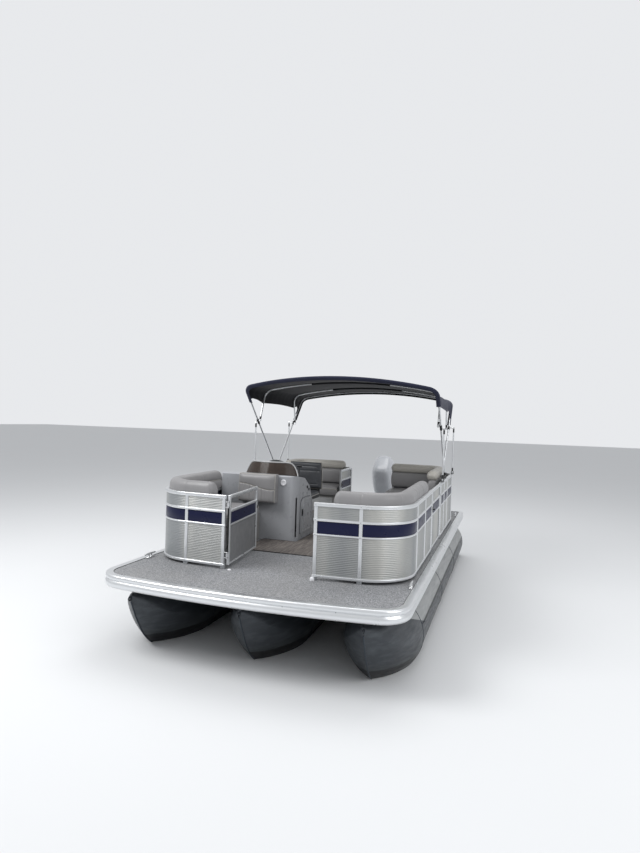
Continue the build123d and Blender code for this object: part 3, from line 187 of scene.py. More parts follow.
def sheet_shell(top, bottom):
    """Closed thin sheet: two equal grids, one over the other, joined round their edge."""
    quads, edge = open_grid(*top.shape[:2])
    size = top.shape[0] * top.shape[1]
    faces = np.concatenate([quads, quads[:, ::-1] + size, band(edge, edge + size)[:, [0, 3, 2, 1]]])
    return np.concatenate([top.reshape(-1, 3), bottom.reshape(-1, 3)]), faces.tolist()


def measure(path):
    """Distance of each point from the path's start."""
    return np.concatenate([[0], np.cumsum(np.linalg.norm(np.diff(path, axis=0), axis=1))])


def sample(at, reach, values):
    """Rows of values at distances along a path whose points lie at reach."""
    return np.stack([np.interp(at, reach, column) for column in values.T], 1)


def ring(width, height, radius, steps=3):
    """Rounded rectangle, as points (across, up) about its middle."""
    radius = min(radius, width / 2 - 1e-5, height / 2 - 1e-5)
    turn = np.linspace(0, pi / 2, steps + 1)
    out = []
    for quarter, (sx, sy) in enumerate(((1, 1), (-1, 1), (-1, -1), (1, -1))):
        angle = turn + quarter * pi / 2
        out.append(np.stack([sx * (width / 2 - radius) + radius * np.cos(angle),
                             sy * (height / 2 - radius) + radius * np.sin(angle)], 1))
    return np.concatenate(out)


def carry(profile, path, outward, loop=False):
    """Profile (outwards, up) carried along a level path: point = path + a * outward + b * up."""
    profile = np.asarray(profile, float)
    if profile.ndim == 2:
        profile = np.broadcast_to(profile, (len(path),) + profile.shape)
    grid = np.empty(profile.shape[:2] + (3,))
    grid[..., :2] = path[:, None] + profile[..., :1] * outward[:, None]
    grid[..., 2] = profile[..., 1]
    return shell(grid, loop)


def bar(start, end, across, width, height, radius=0.004):
    """Straight bar of rounded rectangular section with softened ends."""
    start, end = np.asarray(start, float), np.asarray(end, float)
    run = unit(end - start)
    side = unit(np.asarray(across, float) - run * np.dot(across, run))
    up = np.cross(run, side)
    full = ring(width, height, radius)
    soft = min(radius * 0.7, 0.003)
    small = full * (1 - 2 * soft / np.array([width, height]))
    rows = [(start, small), (start + run * soft, full), (end - run * soft, full), (end, small)]
    return shell(np.stack([p + s[:, :1] * side + s[:, 1:] * up for p, s in rows]))


def tube(points, radius, sides=14, loop=False):
    """Round tube along points: rings turned from one tangent to the next without twist."""
    points = np.asarray(points, float)
    radius = np.broadcast_to(np.asarray(radius, float), len(points))
    ahead = np.roll(points, -1, 0) - points if loop else np.gradient(points, axis=0)
    tangent = unit(ahead + (np.roll(ahead, 1, 0) if loop else 0))
    start = np.cross(tangent[0], UP)
    if np.linalg.norm(start) < 0.1:
        start = np.cross(tangent[0], FORE)
    side = [unit(start)]
    for t in tangent[1:]:
        side.append(unit(side[-1] - t * np.dot(side[-1], t)))
    side = np.array(side)
    up = np.cross(tangent, side)
    turn = np.linspace(0, TAU, sides, endpoint=False)
    grid = (points[:, None] + radius[:, None, None]
            * (np.cos(turn)[None, :, None] * side[:, None] + np.sin(turn)[None, :, None] * up[:, None]))
    return shell(grid, loop)


def bend(corners, radius, step=0.012):
    """Polyline with each corner replaced by an arc of the given radius."""
    corners = np.asarray(corners, float)
    out = [corners[0]]
    for before, corner, after in zip(corners, corners[1:], corners[2:]):
        a, b = unit(before - corner), unit(after - corner)
        half = acos(float(np.clip(np.dot(a, b), -1, 1))) / 2
        reach = min(radius / tan(half), 0.49 * min(dist(before, corner), dist(after, corner)))
        r = reach * tan(half)
        middle = corner + unit(a + b) * r / sin(half)
        first, last = corner + a * reach - middle, corner + b * reach - middle
        sweep = pi - 2 * half
        t = np.linspace(0, 1, max(3, int(sweep * r / step) + 2))[:, None]
        out.extend(middle + (np.sin((1 - t) * sweep) * first + np.sin(t * sweep) * last) / sin(sweep))
    out.append(corners[-1])
    return np.array(out)


def lathe(profile, origin, axis, sides=24):
    """Profile (radius, height) turned about an axis; the ends close with flat caps."""
    axis = unit(axis)
    side = unit(np.cross(axis, UP if abs(axis[2]) < 0.9 else FORE))
    other = np.cross(axis, side)
    profile = np.asarray(profile, float)
    turn = np.linspace(0, TAU, sides, endpoint=False)
    circle = np.cos(turn)[:, None] * side + np.sin(turn)[:, None] * other
    grid = np.asarray(origin) + profile[:, :1, None] * circle[None] + profile[:, 1:, None] * axis
    return shell(grid)


def dome(origin, axis, radius, height):
    """Low round head, such as a screw's or a rivet's."""
    turn = np.linspace(0, 0.47 * pi, 4)
    top = np.stack([radius * np.cos(turn), height * np.sin(turn)], 1)
    return lathe(np.concatenate([[[radius, -0.002]], top]), origin, axis, 12)


def collar(ends, radius, low, high, soft, origin, axis, sides=24):
    """Round collar from low to high along an axis, drawn in to a radius at its soft ends."""
    return lathe([(ends, low), (radius, low + soft), (radius, high - soft), (ends, high)], origin, axis, sides)


def solid(name, parts, paint, body="hull", angle=38.0, nodes=()):
    """One mesh object from closed parts, smooth but for edges sharper than angle, that rides on a body,
    wears a finish, stands for nodes and takes a material slot."""
    verts, faces, base = [], [], 0
    for points, quads in parts:
        verts.append(np.asarray(points, float))
        faces += [[base + v for v in q] for q in quads]
        base += len(points)
    mesh = bpy.data.meshes.new(name)
    mesh.from_pydata((np.concatenate(verts) + HERE).tolist(), [], faces)
    shape = bmesh.new()
    shape.from_mesh(mesh)
    bmesh.ops.recalc_face_normals(shape, faces=shape.faces)
    shape.to_mesh(mesh)
    shape.free()
    mesh.shade_smooth()
    mesh.set_sharp_from_angle(angle=radians(angle))
    piece = bpy.data.objects.new(name, mesh)
    bpy.context.scene.collection.objects.link(piece)
    mesh.materials.append(Finish.made[paint])
    if body:
        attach(piece, body)
    if nodes:
        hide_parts(*nodes)
    return piece


def linear(r, g, b):
    """Linear colour from the 0 to 255 values that a picture shows."""
    return tuple(float(((v / 255 + 0.055) / 1.055) ** 2.4) for v in (r, g, b))


def add_node(tree, kind, inputs, **settings):
    """A new node with its settings and inputs; an input may be a socket or a value."""
    made = tree.nodes.new(kind)
    for key, value in settings.items():
        setattr(made, key, value)
    for key, value in inputs.items():
        if isinstance(value, bpy.types.NodeSocket):
            tree.links.new(value, made.inputs[key])
        else:
            made.inputs[key].default_value = value
    return made


def opaque(r, g, b):
    """Colour for a socket, from the 0 to 255 values that a picture shows."""
    return (*linear(r, g, b), 1)


class Finish:
    """A material's node tree, with the textures that its surface needs."""

    made = {}

    def __init__(self, name, colour, rough=0.5, metallic=0.0, **sockets):
        self.material = bpy.data.materials.new(name)
        self.material.use_nodes = True
        self.tree = self.material.node_tree
        self.bsdf = self.tree.nodes["Principled BSDF"]
        self.colour = (*colour, 1.0)
        self.bsdf.inputs["Base Color"].default_value = self.colour
        self.bsdf.inputs["Roughness"].default_value = rough
        self.bsdf.inputs["Metallic"].default_value = metallic
        for socket, value in sockets.items():
            self.bsdf.inputs[socket.replace("_", " ")].default_value = value
        self.coords = self.node("ShaderNodeTexCoord", {}).outputs["Object"]
        self.normal = None
        Finish.made[name] = self.material

    def node(self, kind, inputs, **settings):
        return add_node(self.tree, kind, inputs, **settings)

    def noise(self, scale, detail=3.0, stretch=(1, 1, 1), rough=0.55):
        """Noise of a size, stretched along the axes."""
        placed = self.node("ShaderNodeMapping", {"Vector": self.coords, "Scale": stretch}).outputs[0]
        return self.node("ShaderNodeTexNoise", {"Vector": placed, "Scale": scale, "Detail": detail,
                                                "Roughness": rough}).outputs["Fac"]

    def cells(self, scale):
        """Distance inside random cells, for grain and speckle."""
        return self.node("ShaderNodeTexVoronoi", {"Vector": self.coords, "Scale": scale}).outputs[0]

    def waves(self, scale, direction):
        """Parallel waves across one axis."""
        return self.node("ShaderNodeTexWave", {"Vector": self.coords, "Scale": scale},
                         bands_direction=direction).outputs["Fac"]

    def calc(self, operation, *values):
        """One sum on one to three values."""
        return self.node("ShaderNodeMath", dict(enumerate(values)), operation=operation).outputs[0]

    def span(self, value, low, high, to_low=0.0, to_high=1.0):
        """Value mapped from one range to another and clamped."""
        return self.node("ShaderNodeMapRange", {"Value": value, "From Min": low, "From Max": high,
                                                "To Min": to_low, "To Max": to_high}).outputs[0]

    def mix(self, share, a, b):
        """Colour a, turning to b by share."""
        return self.node("ShaderNodeMix", {0: share, 6: a, 7: b}, data_type="RGBA").outputs[2]

    def tint(self, value):
        """Base colour from a socket."""
        self.tree.links.new(value, self.bsdf.inputs["Base Color"])
        return self

    def vary(self, fac, amount, darker=0.75):
        """Base colour that falls towards a darker shade where fac is high."""
        shade = tuple(c * darker for c in self.colour[:3]) + (1.0,)
        return self.tint(self.mix(self.span(fac, 0.35, 0.75, 0.0, amount), self.colour, shade))

    def polish(self, fac, low, high):
        """Roughness between two values by fac."""
        self.tree.links.new(self.span(fac, 0.3, 0.7, low, high), self.bsdf.inputs["Roughness"])
        return self

    def bump(self, height, distance, strength=1.0):
        """Bump on top of what is there."""
        inputs = {"Height": height, "Distance": distance, "Strength": strength}
        if self.normal is not None:
            inputs["Normal"] = self.normal
        self.normal = self.node("ShaderNodeBump", inputs).outputs[0]
        self.tree.links.new(self.normal, self.bsdf.inputs["Normal"])
        return self

    def axis(self, index):
        """One of the place's coordinates in the frame."""
        return self.node("ShaderNodeSeparateXYZ", {0: self.coords}).outputs[index]


def colour_choice(name, description, r, g, b):
    return FloatVectorProperty(name=name, description=description, subtype="COLOR", default=linear(r, g, b))


def length_choice(name, description, default):
    return FloatProperty(name=name, description=description, default=default, unit="LENGTH")


class BoatColours(bpy.types.PropertyGroup):
    """Colours that an owner picks."""

    stripe: colour_choice("Stripe", "Band between the second and third rails", 14, 20, 56)
    upholstery: colour_choice("Upholstery", "Vinyl of lounges and backs", 135, 134, 135)
    piping: colour_choice("Piping", "Piping and cream tops of the aft backs", 176, 173, 166)
    canvas: colour_choice("Canvas", "Bimini top", 34, 37, 56)
    housing: colour_choice("Motor housing", "Cowling over the engine", 190, 193, 198)


class BoatSizes(bpy.types.PropertyGroup):
    """Sizes of what is added round the frame."""

    rib_pitch: length_choice("Rib pitch", "Height of one rib of the fence sheets", 0.015)
    rib_depth: length_choice("Rib depth", "Depth of the groove between two ribs", 0.0022)
    bolt_pitch: length_choice("Bolt pitch", "Distance of the rub rail's bolts", 0.4)
    canvas_sag: length_choice("Canvas sag", "Dip of the canvas between two bows", 0.016)
    crown: length_choice("Cushion crown", "How far a seat's middle stands over its edge", 0.014)


def colours():
    return bpy.context.scene.boat_colours


def sizes():
    return bpy.context.scene.boat_sizes


def metal(name, colour, rough, streak=(1, 1, 1)):
    """Drawn aluminium: soft brushed streaks, slightly duller patches, faint scratches."""
    f = Finish(name, colour, rough, 0.82)
    f.vary(f.noise(3, 3, streak), 0.35, 0.9)
    f.polish(f.noise(11, 3, streak), rough * 0.88, rough * 1.15)
    return f.bump(f.noise(160, 2, streak), 0.00002, 0.3).material


def vinyl(name, colour, rough=0.42):
    """Upholstery vinyl: pebbled grain, soft wrinkles, cleaner and duller patches."""
    f = Finish(name, colour, rough, 0.0, Specular_IOR_Level=0.42, Coat_Weight=0.06)
    f.vary(f.noise(5, 4), 0.55, 0.84)
    f.polish(f.noise(9, 4), rough - 0.07, rough + 0.12)
    f.bump(f.noise(34, 3), 0.0012, 0.35)
    return f.bump(f.cells(620), 0.0003, 0.5).material


def plastic(name, colour, rough=0.35, coat=0.0, grain=0.0):
    """Moulded plastic or gelcoat: even, with faint waviness and a little dust."""
    f = Finish(name, colour, rough, 0.0, Coat_Weight=coat, Coat_Roughness=0.12)
    f.vary(f.noise(4, 5), 0.4, 0.88)
    f.polish(f.noise(13, 4), rough * 0.8, rough * 1.3)
    if grain:
        f.bump(f.noise(900, 2), grain, 0.5)
    return f.bump(f.noise(7, 2), 0.0012, 0.15).material


def tube_paint():
    """Tubes: painted shade in dark blue-grey by the nose and inboard, painted light as pale silver on the
    outboard shoulders, black bottom paint, scuffs.
    """
    # Painted shade: dark blue-grey for the nose and the inboard sides, which lie in shadow under the deck.
    # Painted light: pale silver for the upper outboard sides, which face the sky.
    painted_shade_slate, painted_light_silver = opaque(58, 62, 67), opaque(158, 160, 160)
    f = Finish("tube_paint", painted_shade_slate[:3], 0.4, 0.35)
    x, y, z = f.axis(0), f.calc("ABSOLUTE", f.axis(1)), f.axis(2)
    wander = f.calc("MULTIPLY_ADD", f.noise(7, 4), 0.03, -0.015)
    height = f.calc("ADD", z, wander)
    # Lower edge of the painted light, rising towards the nose so that the whole nose keeps the painted shade.
    edge = f.span(x, BOW_X - 1.1, BOW_X - 0.42, DECK_Z - 0.36, DECK_Z - 0.13)
    above = f.calc("SUBTRACT", z, edge)
    # Painted light mask: outboard of about 1 m and above that edge.
    painted_light_mask = f.calc("MULTIPLY", f.span(y, 1.0, 1.004), f.span(above, -0.002, 0.002))
    base = f.mix(painted_light_mask, painted_shade_slate, painted_light_silver)
    base = f.mix(f.span(f.noise(11, 5, (0.3, 1, 2.5)), 0.45, 0.8, 0, 0.45), base, opaque(96, 102, 106))
    growth = f.calc("MULTIPLY", f.span(height, 0.3, 0.2), f.span(f.noise(60, 4), 0.35, 0.6))
    base = f.mix(f.calc("MULTIPLY", growth, 0.35), base, opaque(52, 58, 46))
    f.tint(f.mix(f.span(height, 0.226, 0.222), base, opaque(20, 22, 26)))
    f.polish(f.noise(20, 5, (0.3, 1, 2)), 0.3, 0.5)
    f.bump(f.noise(3.2, 2), 0.006, 0.25)
    return f.bump(f.noise(160, 3, (0.2, 1, 1)), 0.0002, 0.5).material


def deck_vinyl():
    """Speckled deck sheet: light and dark flecks a few millimetres wide in mid grey, with a pebbled face."""
    f = Finish("deck_vinyl", linear(138, 139, 142), 0.66)
    fleck = f.span(f.noise(105, 3, rough=0.8), 0.4, 0.6)
    dark = f.span(f.cells(110), 0.28, 0.46)
    base = f.mix(fleck, opaque(92, 94, 98), opaque(161, 162, 164))
    base = f.mix(f.calc("MULTIPLY", f.calc("SUBTRACT", 1.0, dark), 0.35), base, opaque(92, 93, 98))
    worn = f.span(f.noise(1.6, 5), 0.4, 0.7)
    f.tint(f.mix(f.calc("MULTIPLY", worn, 0.22), base, opaque(132, 129, 124)))
    return f.bump(f.cells(240), 0.0006, 0.6).material


def mat_weave():
    """Woven mat: crossed cords with lengthwise streaks of brown and grey."""
    f = Finish("mat_weave", linear(104, 98, 94), 0.8)
    streak = f.noise(24, 4, (0.25, 4, 1))
    base = f.mix(f.span(streak, 0.35, 0.65), opaque(78, 73, 71), opaque(128, 121, 115))
    cord = f.calc("MULTIPLY", f.waves(80, "X"), f.waves(55, "Y"))
    f.tint(f.mix(f.calc("MULTIPLY", cord, 0.35), base, opaque(52, 49, 48)))
    return f.bump(cord, 0.0012, 0.7).material


def canvas_cloth(name, colour):
    """Solution-dyed canvas: plain weave of crossed threads, faded on top, soft sheen."""
    f = Finish(name, colour, 0.82, 0.0, Sheen_Weight=0.1, Sheen_Roughness=0.5, Specular_IOR_Level=0.25)
    faded = tuple(min(1.0, c * 1.5 + 0.008) for c in colour) + (1.0,)
    f.tint(f.mix(f.calc("MULTIPLY", f.span(f.noise(3.5, 4), 0.35, 0.7), 0.5), f.colour, faded))
    threads = f.calc("ADD", f.waves(330, "X"), f.waves(330, "Y"))
    f.bump(f.noise(9, 3), 0.004, 0.3)
    return f.bump(threads, 0.0004, 0.4).material


def smoked_acrylic():
    """Dark brown see-through sheet with faint waviness."""
    f = Finish("smoked_acrylic", linear(84, 74, 68), 0.1, 0.0, Transmission_Weight=0.6, IOR=1.3,
               Specular_IOR_Level=0.25)
    f.polish(f.noise(16, 4), 0.1, 0.2)
    return f.bump(f.noise(5, 2), 0.001, 0.2).material


def sheet_silver():
    """Ribbed fence sheet: satin silver with soft upright lighter and darker streaks of painted reflection."""
    f = Finish("sheet_silver", linear(178, 180, 178), 0.34, 0.5)
    # Painted reflection: soft upright lighter and darker streaks in the base colour.
    painted_reflection_streaks = f.span(f.noise(2.6, 2, (1, 1, 0.06)), 0.38, 0.64)
    f.tint(f.mix(painted_reflection_streaks, opaque(146, 149, 151), opaque(184, 184, 180)))
    return f.polish(f.noise(5, 3, (1, 1, 0.2)), 0.3, 0.4).material


def navy_paint():
    """Gloss navy sheet with slight ripple and dust."""
    f = Finish("navy_paint", tuple(colours().stripe), 0.3, 0.0, Specular_IOR_Level=0.25)
    f.vary(f.noise(4, 4), 0.35, 0.8)
    f.polish(f.noise(18, 4), 0.26, 0.4)
    return f.bump(f.noise(6, 2, (1, 1, 0.3)), 0.0015, 0.2).material


def build_finishes():
    """Every finish, by name."""
    c = colours()
    metal("rail_metal", linear(226, 228, 230), 0.3)
    metal("mill_metal", linear(168, 171, 174), 0.42, (0.3, 1, 1))
    metal("bright_steel", linear(214, 215, 216), 0.16)
    vinyl("vinyl_grey", tuple(c.upholstery))
    vinyl("vinyl_light", tuple(c.piping))
    vinyl("vinyl_dark", linear(58, 60, 64), 0.46)
    plastic("base_plastic", linear(138, 137, 136), 0.5, 0.0, 0.00015)
    plastic("gelcoat", linear(159, 161, 165), 0.3, 0.25)
    plastic("gelcoat_rim", linear(172, 173, 174), 0.28, 0.3)
    plastic("black_plastic", linear(30, 31, 33), 0.42, 0.0, 0.0002)
    plastic("white_nylon", linear(222, 223, 226), 0.4, 0.1)
    plastic("rubber_black", linear(24, 24, 26), 0.7, 0.0, 0.0003)
    plastic("gate_grey", linear(118, 119, 121), 0.45)
    metal("tube_bead", linear(70, 77, 84), 0.4)
    plastic("dial_face", linear(12, 13, 15), 0.3, 0.4)
    plastic("dial_mark", linear(226, 226, 220), 0.5)
    metal("motor_dark", linear(74, 78, 86), 0.4)
    plastic("motor_paint", tuple(c.housing), 0.22, 0.6)
    plastic("motor_trim", linear(92, 97, 110), 0.35, 0.3)
    canvas_cloth("canvas_navy", tuple(c.canvas))
    canvas_cloth("canvas_inside", linear(15, 16, 21))
    canvas_cloth("webbing_black", linear(26, 27, 32))
    tube_paint()
    deck_vinyl()
    mat_weave()
    smoked_acrylic()
    sheet_silver()
    navy_paint()


# CAD nodes of each finish, by the start of their names; a gate's pieces by what follows "gate_"
FINISHED = {
    "tube_paint": "pontoon", "deck_vinyl": "deck", "mat_weave": "cockpit_mat", "gelcoat": "console",
    "rail_metal": "rub_rail fence_rails frame bimini boarding_ladder", "sheet_silver": "fence_skins panels",
    "navy_paint": "fence_stripes stripe", "mill_metal": "cross_members motor_pod outboard_engine",
    "base_plastic": "bow_lounge_bases aft_lounge_bases", "smoked_acrylic": "windscreen",
    "vinyl_grey": "console_backrest bow_seat aft_seat bow_backrest aft_backrests", "vinyl_dark": "helm_chair",
    "black_plastic": "steering_wheel throttle bimini_mounts", "motor_paint": "outboard_cowling",
    "bright_steel": "helm_pedestal ladder_brackets cleats", "motor_dark": "outboard propeller",
    "canvas_navy": "bimini_canvas",
}
NODE_FINISH = {start: finish for finish, starts in FINISHED.items() for start in starts.split()}


def finish_of(node):
    """The finish whose key is the longest start of the node's name."""
    part = node.split("gate_")[-1]
    return NODE_FINISH[max((k for k in NODE_FINISH if part.startswith(k)), key=len)]


def dress_nodes():
    """Every CAD node gets its procedural finish."""
    for name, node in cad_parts.items():
        node.data.materials.clear()
        node.data.materials.append(Finish.made[finish_of(name)])


# Rub rail seen from the side, from the lip over the deck round both beads and back: a outwards, b up
RUB_RAIL = (
    (-0.065, 0.0004), (-0.065, 0.004), (-0.063, 0.0052), (-0.015, 0.0052), (-0.0085, 0.003), (-0.0045, -0.005),
    (-0.0025, -0.015), (-0.004, -0.026), (-0.0095, -0.0335), (-0.012, -0.0375), (-0.0095, -0.0415),
    (-0.003, -0.048), (0.0, -0.06), (0.0, -0.074), (-0.003, -0.086), (-0.009, -0.092),
    (-0.014, -0.095), (-0.016, -0.0985), (-0.023, -0.1), (-0.024, -0.098), (-0.024, -0.0004),
)


def deck_run(inset=0.0):
    """The deck's whole outline: port from the front to the stern's middle, then starboard back."""
    path, normal = DECK.run(inset, stern_y=0.0)
    flip = np.array([1.0, -1.0])
    return np.concatenate([path, (path * flip)[-2:0:-1]]), np.concatenate([normal, (normal * flip)[-2:0:-1]])


def spaced(path, normal, pitch):
    """Points and normals at equal distances along a closed path."""
    path, normal = np.concatenate([path, path[:1]]), np.concatenate([normal, normal[:1]])
    reach = measure(path)
    at = np.linspace(0, reach[-1], int(round(reach[-1] / pitch)), endpoint=False)
    return sample(at, reach, path), unit(sample(at, reach, normal))


def flat(p, z):
    """A plan point at a height."""
    return np.array([p[0], p[1], z])


class BOAT_OT_rub_rail(bpy.types.Operator):
    """Edge extrusion with two round beads and the bolts in the groove between them"""
    bl_idname = "boat.rub_rail"
    bl_label = "Rub rail"

    def execute(self, context):
        path, normal = deck_run()
        solid("rub_rail_beads", [carry(RUB_RAIL, path, normal, loop=True)], "rail_metal", angle=50,
              nodes=("rub_rail",))
        heads = []
        points, normals = spaced(path, normal, sizes().bolt_pitch)
        for z, inset, every in ((-0.0375, -0.0122, 1), (-0.093, -0.0098, 2)):
            for p, n in zip(points[::every], normals[::every]):
                heads.append(dome(flat(p + n * inset, z), flat(n, 0), 0.0052, 0.003))
        solid("rub_rail_bolts", heads, "mill_metal")
        edge, outward = deck_run(0.0653)
        bead = ((-0.004, 0.0002), (0.0, 0.0002), (0.0, 0.0042), (-0.0012, 0.0036), (-0.004, 0.0012))
        solid("deck_edge_seal", [carry(bead, edge, outward, loop=True)], "rubber_black")
        return {"FINISHED"}


# Heights of the fence's sheets under and over the stripe, and of the stripe, in the gaps between the rails
SHEET_LOW, SHEET_HIGH, STRIPE = (0.0465, 0.3695), (0.5105, 0.6095), (0.3865, 0.4875)
# Runs of the fence: name, start on the front, end on the side, end on the stern, start on the side, side
RUNS = (
    ("starboard", BOW_OPENING, None, -STERN_STARBOARD, None, -1),
    ("port_bow", BOW_OPENING, SIDE_GATE_FRONT, None, None, 1),
    ("port_aft", None, None, STERN_PORT, SIDE_GATE_AFT, 1),
)
# Posts of each run: on the front as y, on the side as x, on the stern as y
POSTS = {
    "starboard": ((0.421, 0.8), (-1.16, -1.65, -2.14, -2.64, -3.14, -3.62, -4.205), (0.301,)),
    "port_bow": ((0.421, 0.8), (-1.16, -1.65, -2.124), ()),
    "port_aft": ((), (-2.921, -3.262, -3.62, -4.205), (0.351,)),
}


def ribs(low, high):
    """Section of a ribbed sheet: flat ribs with a round groove between, thickness inwards."""
    count = int(round((high - low) / sizes().rib_pitch))
    t = np.linspace(0, count, count * 6 + 1)
    groove = np.exp(-((t % 1 - 0.5) / 0.16) ** 2)
    z = low + (high - low) * t / count
    outer = np.stack([-sizes().rib_depth * groove, z], 1)
    inner = np.stack([np.full_like(z[::6], -0.0038), z[::6]], 1)[::-1]
    return np.concatenate([outer, inner])


def plain(low, high):
    """Section of a flat sheet with a shallow swage near its edges."""
    z = np.array([low, low + 0.01, low + 0.014, high - 0.014, high - 0.01, high])
    a = np.array([-0.0012, -0.0012, 0.0, 0.0, -0.0012, -0.0012])
    return np.concatenate([np.stack([a, z], 1), np.stack([np.full(6, -0.0038), z], 1)[::-1]])


def fence_path(run, inset, trim=0.0):
    """Path of one run of the fence at an inset, shortened by trim at both ends."""
    ends = [end if end is None else end + shift for end, shift in zip(run[1:5], (trim, trim, trim, -trim))]
    return FENCE.run(inset, *ends, side=run[5], step=0.03)


def post_spots(run):
    """Place and outward normal of every post of a run, on the fence's middle line."""
    side = run[5]
    fronts, sides, sterns = POSTS[run[0]]
    middle = FENCE_WIDTH / 2
    spots = []
    for y in fronts:
        hub = (FENCE.centre, 0) if y < FENCE.corner_y else (FENCE.corner_x, FENCE.corner_y)
        x = float(FENCE.front_x(y, middle))
        normal = unit([x - hub[0], y - hub[1]])
        spots.append(((x, y * side), (normal[0], normal[1] * side)))
    for x in sides:
        spots.append(((x, (FENCE.half - middle) * side), (0.0, float(side))))
    for y in sterns:
        spots.append(((FENCE_STERN + middle, y * side), (-1.0, 0.0)))
    return spots


class BOAT_OT_fence(bpy.types.Operator):
    """Four rails of round-cornered tube on posts, ribbed sheets, the stripe, feet and screws"""
    bl_idname = "boat.fence"
    bl_label = "Fence"

    def execute(self, context):
        for run in RUNS:
            name = run[0]
            path, normal = fence_path(run, FENCE_WIDTH / 2)
            parts = []
            for low, high in RAIL_HEIGHTS:
                section = ring(FENCE_WIDTH, high - low, 0.006, 4) + [0, (low + high) / 2]
                parts.append(carry(section, path, normal))
            screws, feet = [], []
            for (x, y), n in post_spots(run):
                n3, along = flat(n, 0), np.array([-n[1], n[0], 0])
                spot = flat((x, y), 0)
                parts.append(bar(spot + UP * 0.0462, spot + UP * 0.612, n3, FENCE_WIDTH - 0.004, 0.03, 0.005))
                feet.append(bar(spot + UP * 0.0002, spot + UP * 0.0212, n3, 0.022, 0.044, 0.003))
                for low, high in RAIL_HEIGHTS[1:]:
                    screws.append(dome(spot + n3 * FENCE_WIDTH / 2 + UP * (low + high) / 2, n3, 0.0038, 0.0018))
                screws.append(dome(spot + n3 * 0.008 + along * 0.017 + UP * 0.0212, UP, 0.003, 0.0015))
            solid("fence_rail_tubes_" + name, parts, "rail_metal", nodes=("fence_rails_" + name,))
            solid("fence_feet_" + name, feet, "mill_metal")
            solid("fence_screws_" + name, screws, "mill_metal", angle=60)
            path, normal = fence_path(run, SKIN_INSET, 0.004)
            sheets = [carry(ribs(*heights), path, normal) for heights in (SHEET_LOW, SHEET_HIGH)]
            solid("fence_sheets_" + name, sheets, "sheet_silver", nodes=("fence_skins_" + name,))
            solid("fence_stripe_" + name, [carry(plain(*STRIPE), path, normal)], "navy_paint",
                  nodes=("fence_stripes",))
            gasket = []
            for low, high in (SHEET_LOW, STRIPE, SHEET_HIGH):
                for end in (0, -1):
                    n3 = flat(normal[end], 0)
                    spot = flat(path[end], 0) - n3 * 0.002
                    gasket.append(bar(spot + UP * (low - 0.0003), spot + UP * (high + 0.0003), n3,
                                      0.007, 0.006, 0.001))
            solid("fence_gaskets_" + name, gasket, "rubber_black")
        return {"FINISHED"}


# Gates: name, hinge in plan, heading, length, whether the sheets are ribbed, way from the hinge to its post
GATES = (
    ("bow_gate", (-0.672, -0.383), 185.6, 0.78, False, -PORT),
    ("side_gate", (-2.883, 1.18), 0.0, 0.735, True, -FORE),
    ("stern_gate", (-4.384, -0.263), 0.0, 0.59, True, -PORT),
)
GATE_NEAR = 0.018
GATE_STILE = 0.03
GATE_THICK = 0.025
GATE_LOW, GATE_HIGH = 0.03, 0.64
SKIN_OUT = [0.0019, 0]
KNUCKLES = (0.12, 0.56)


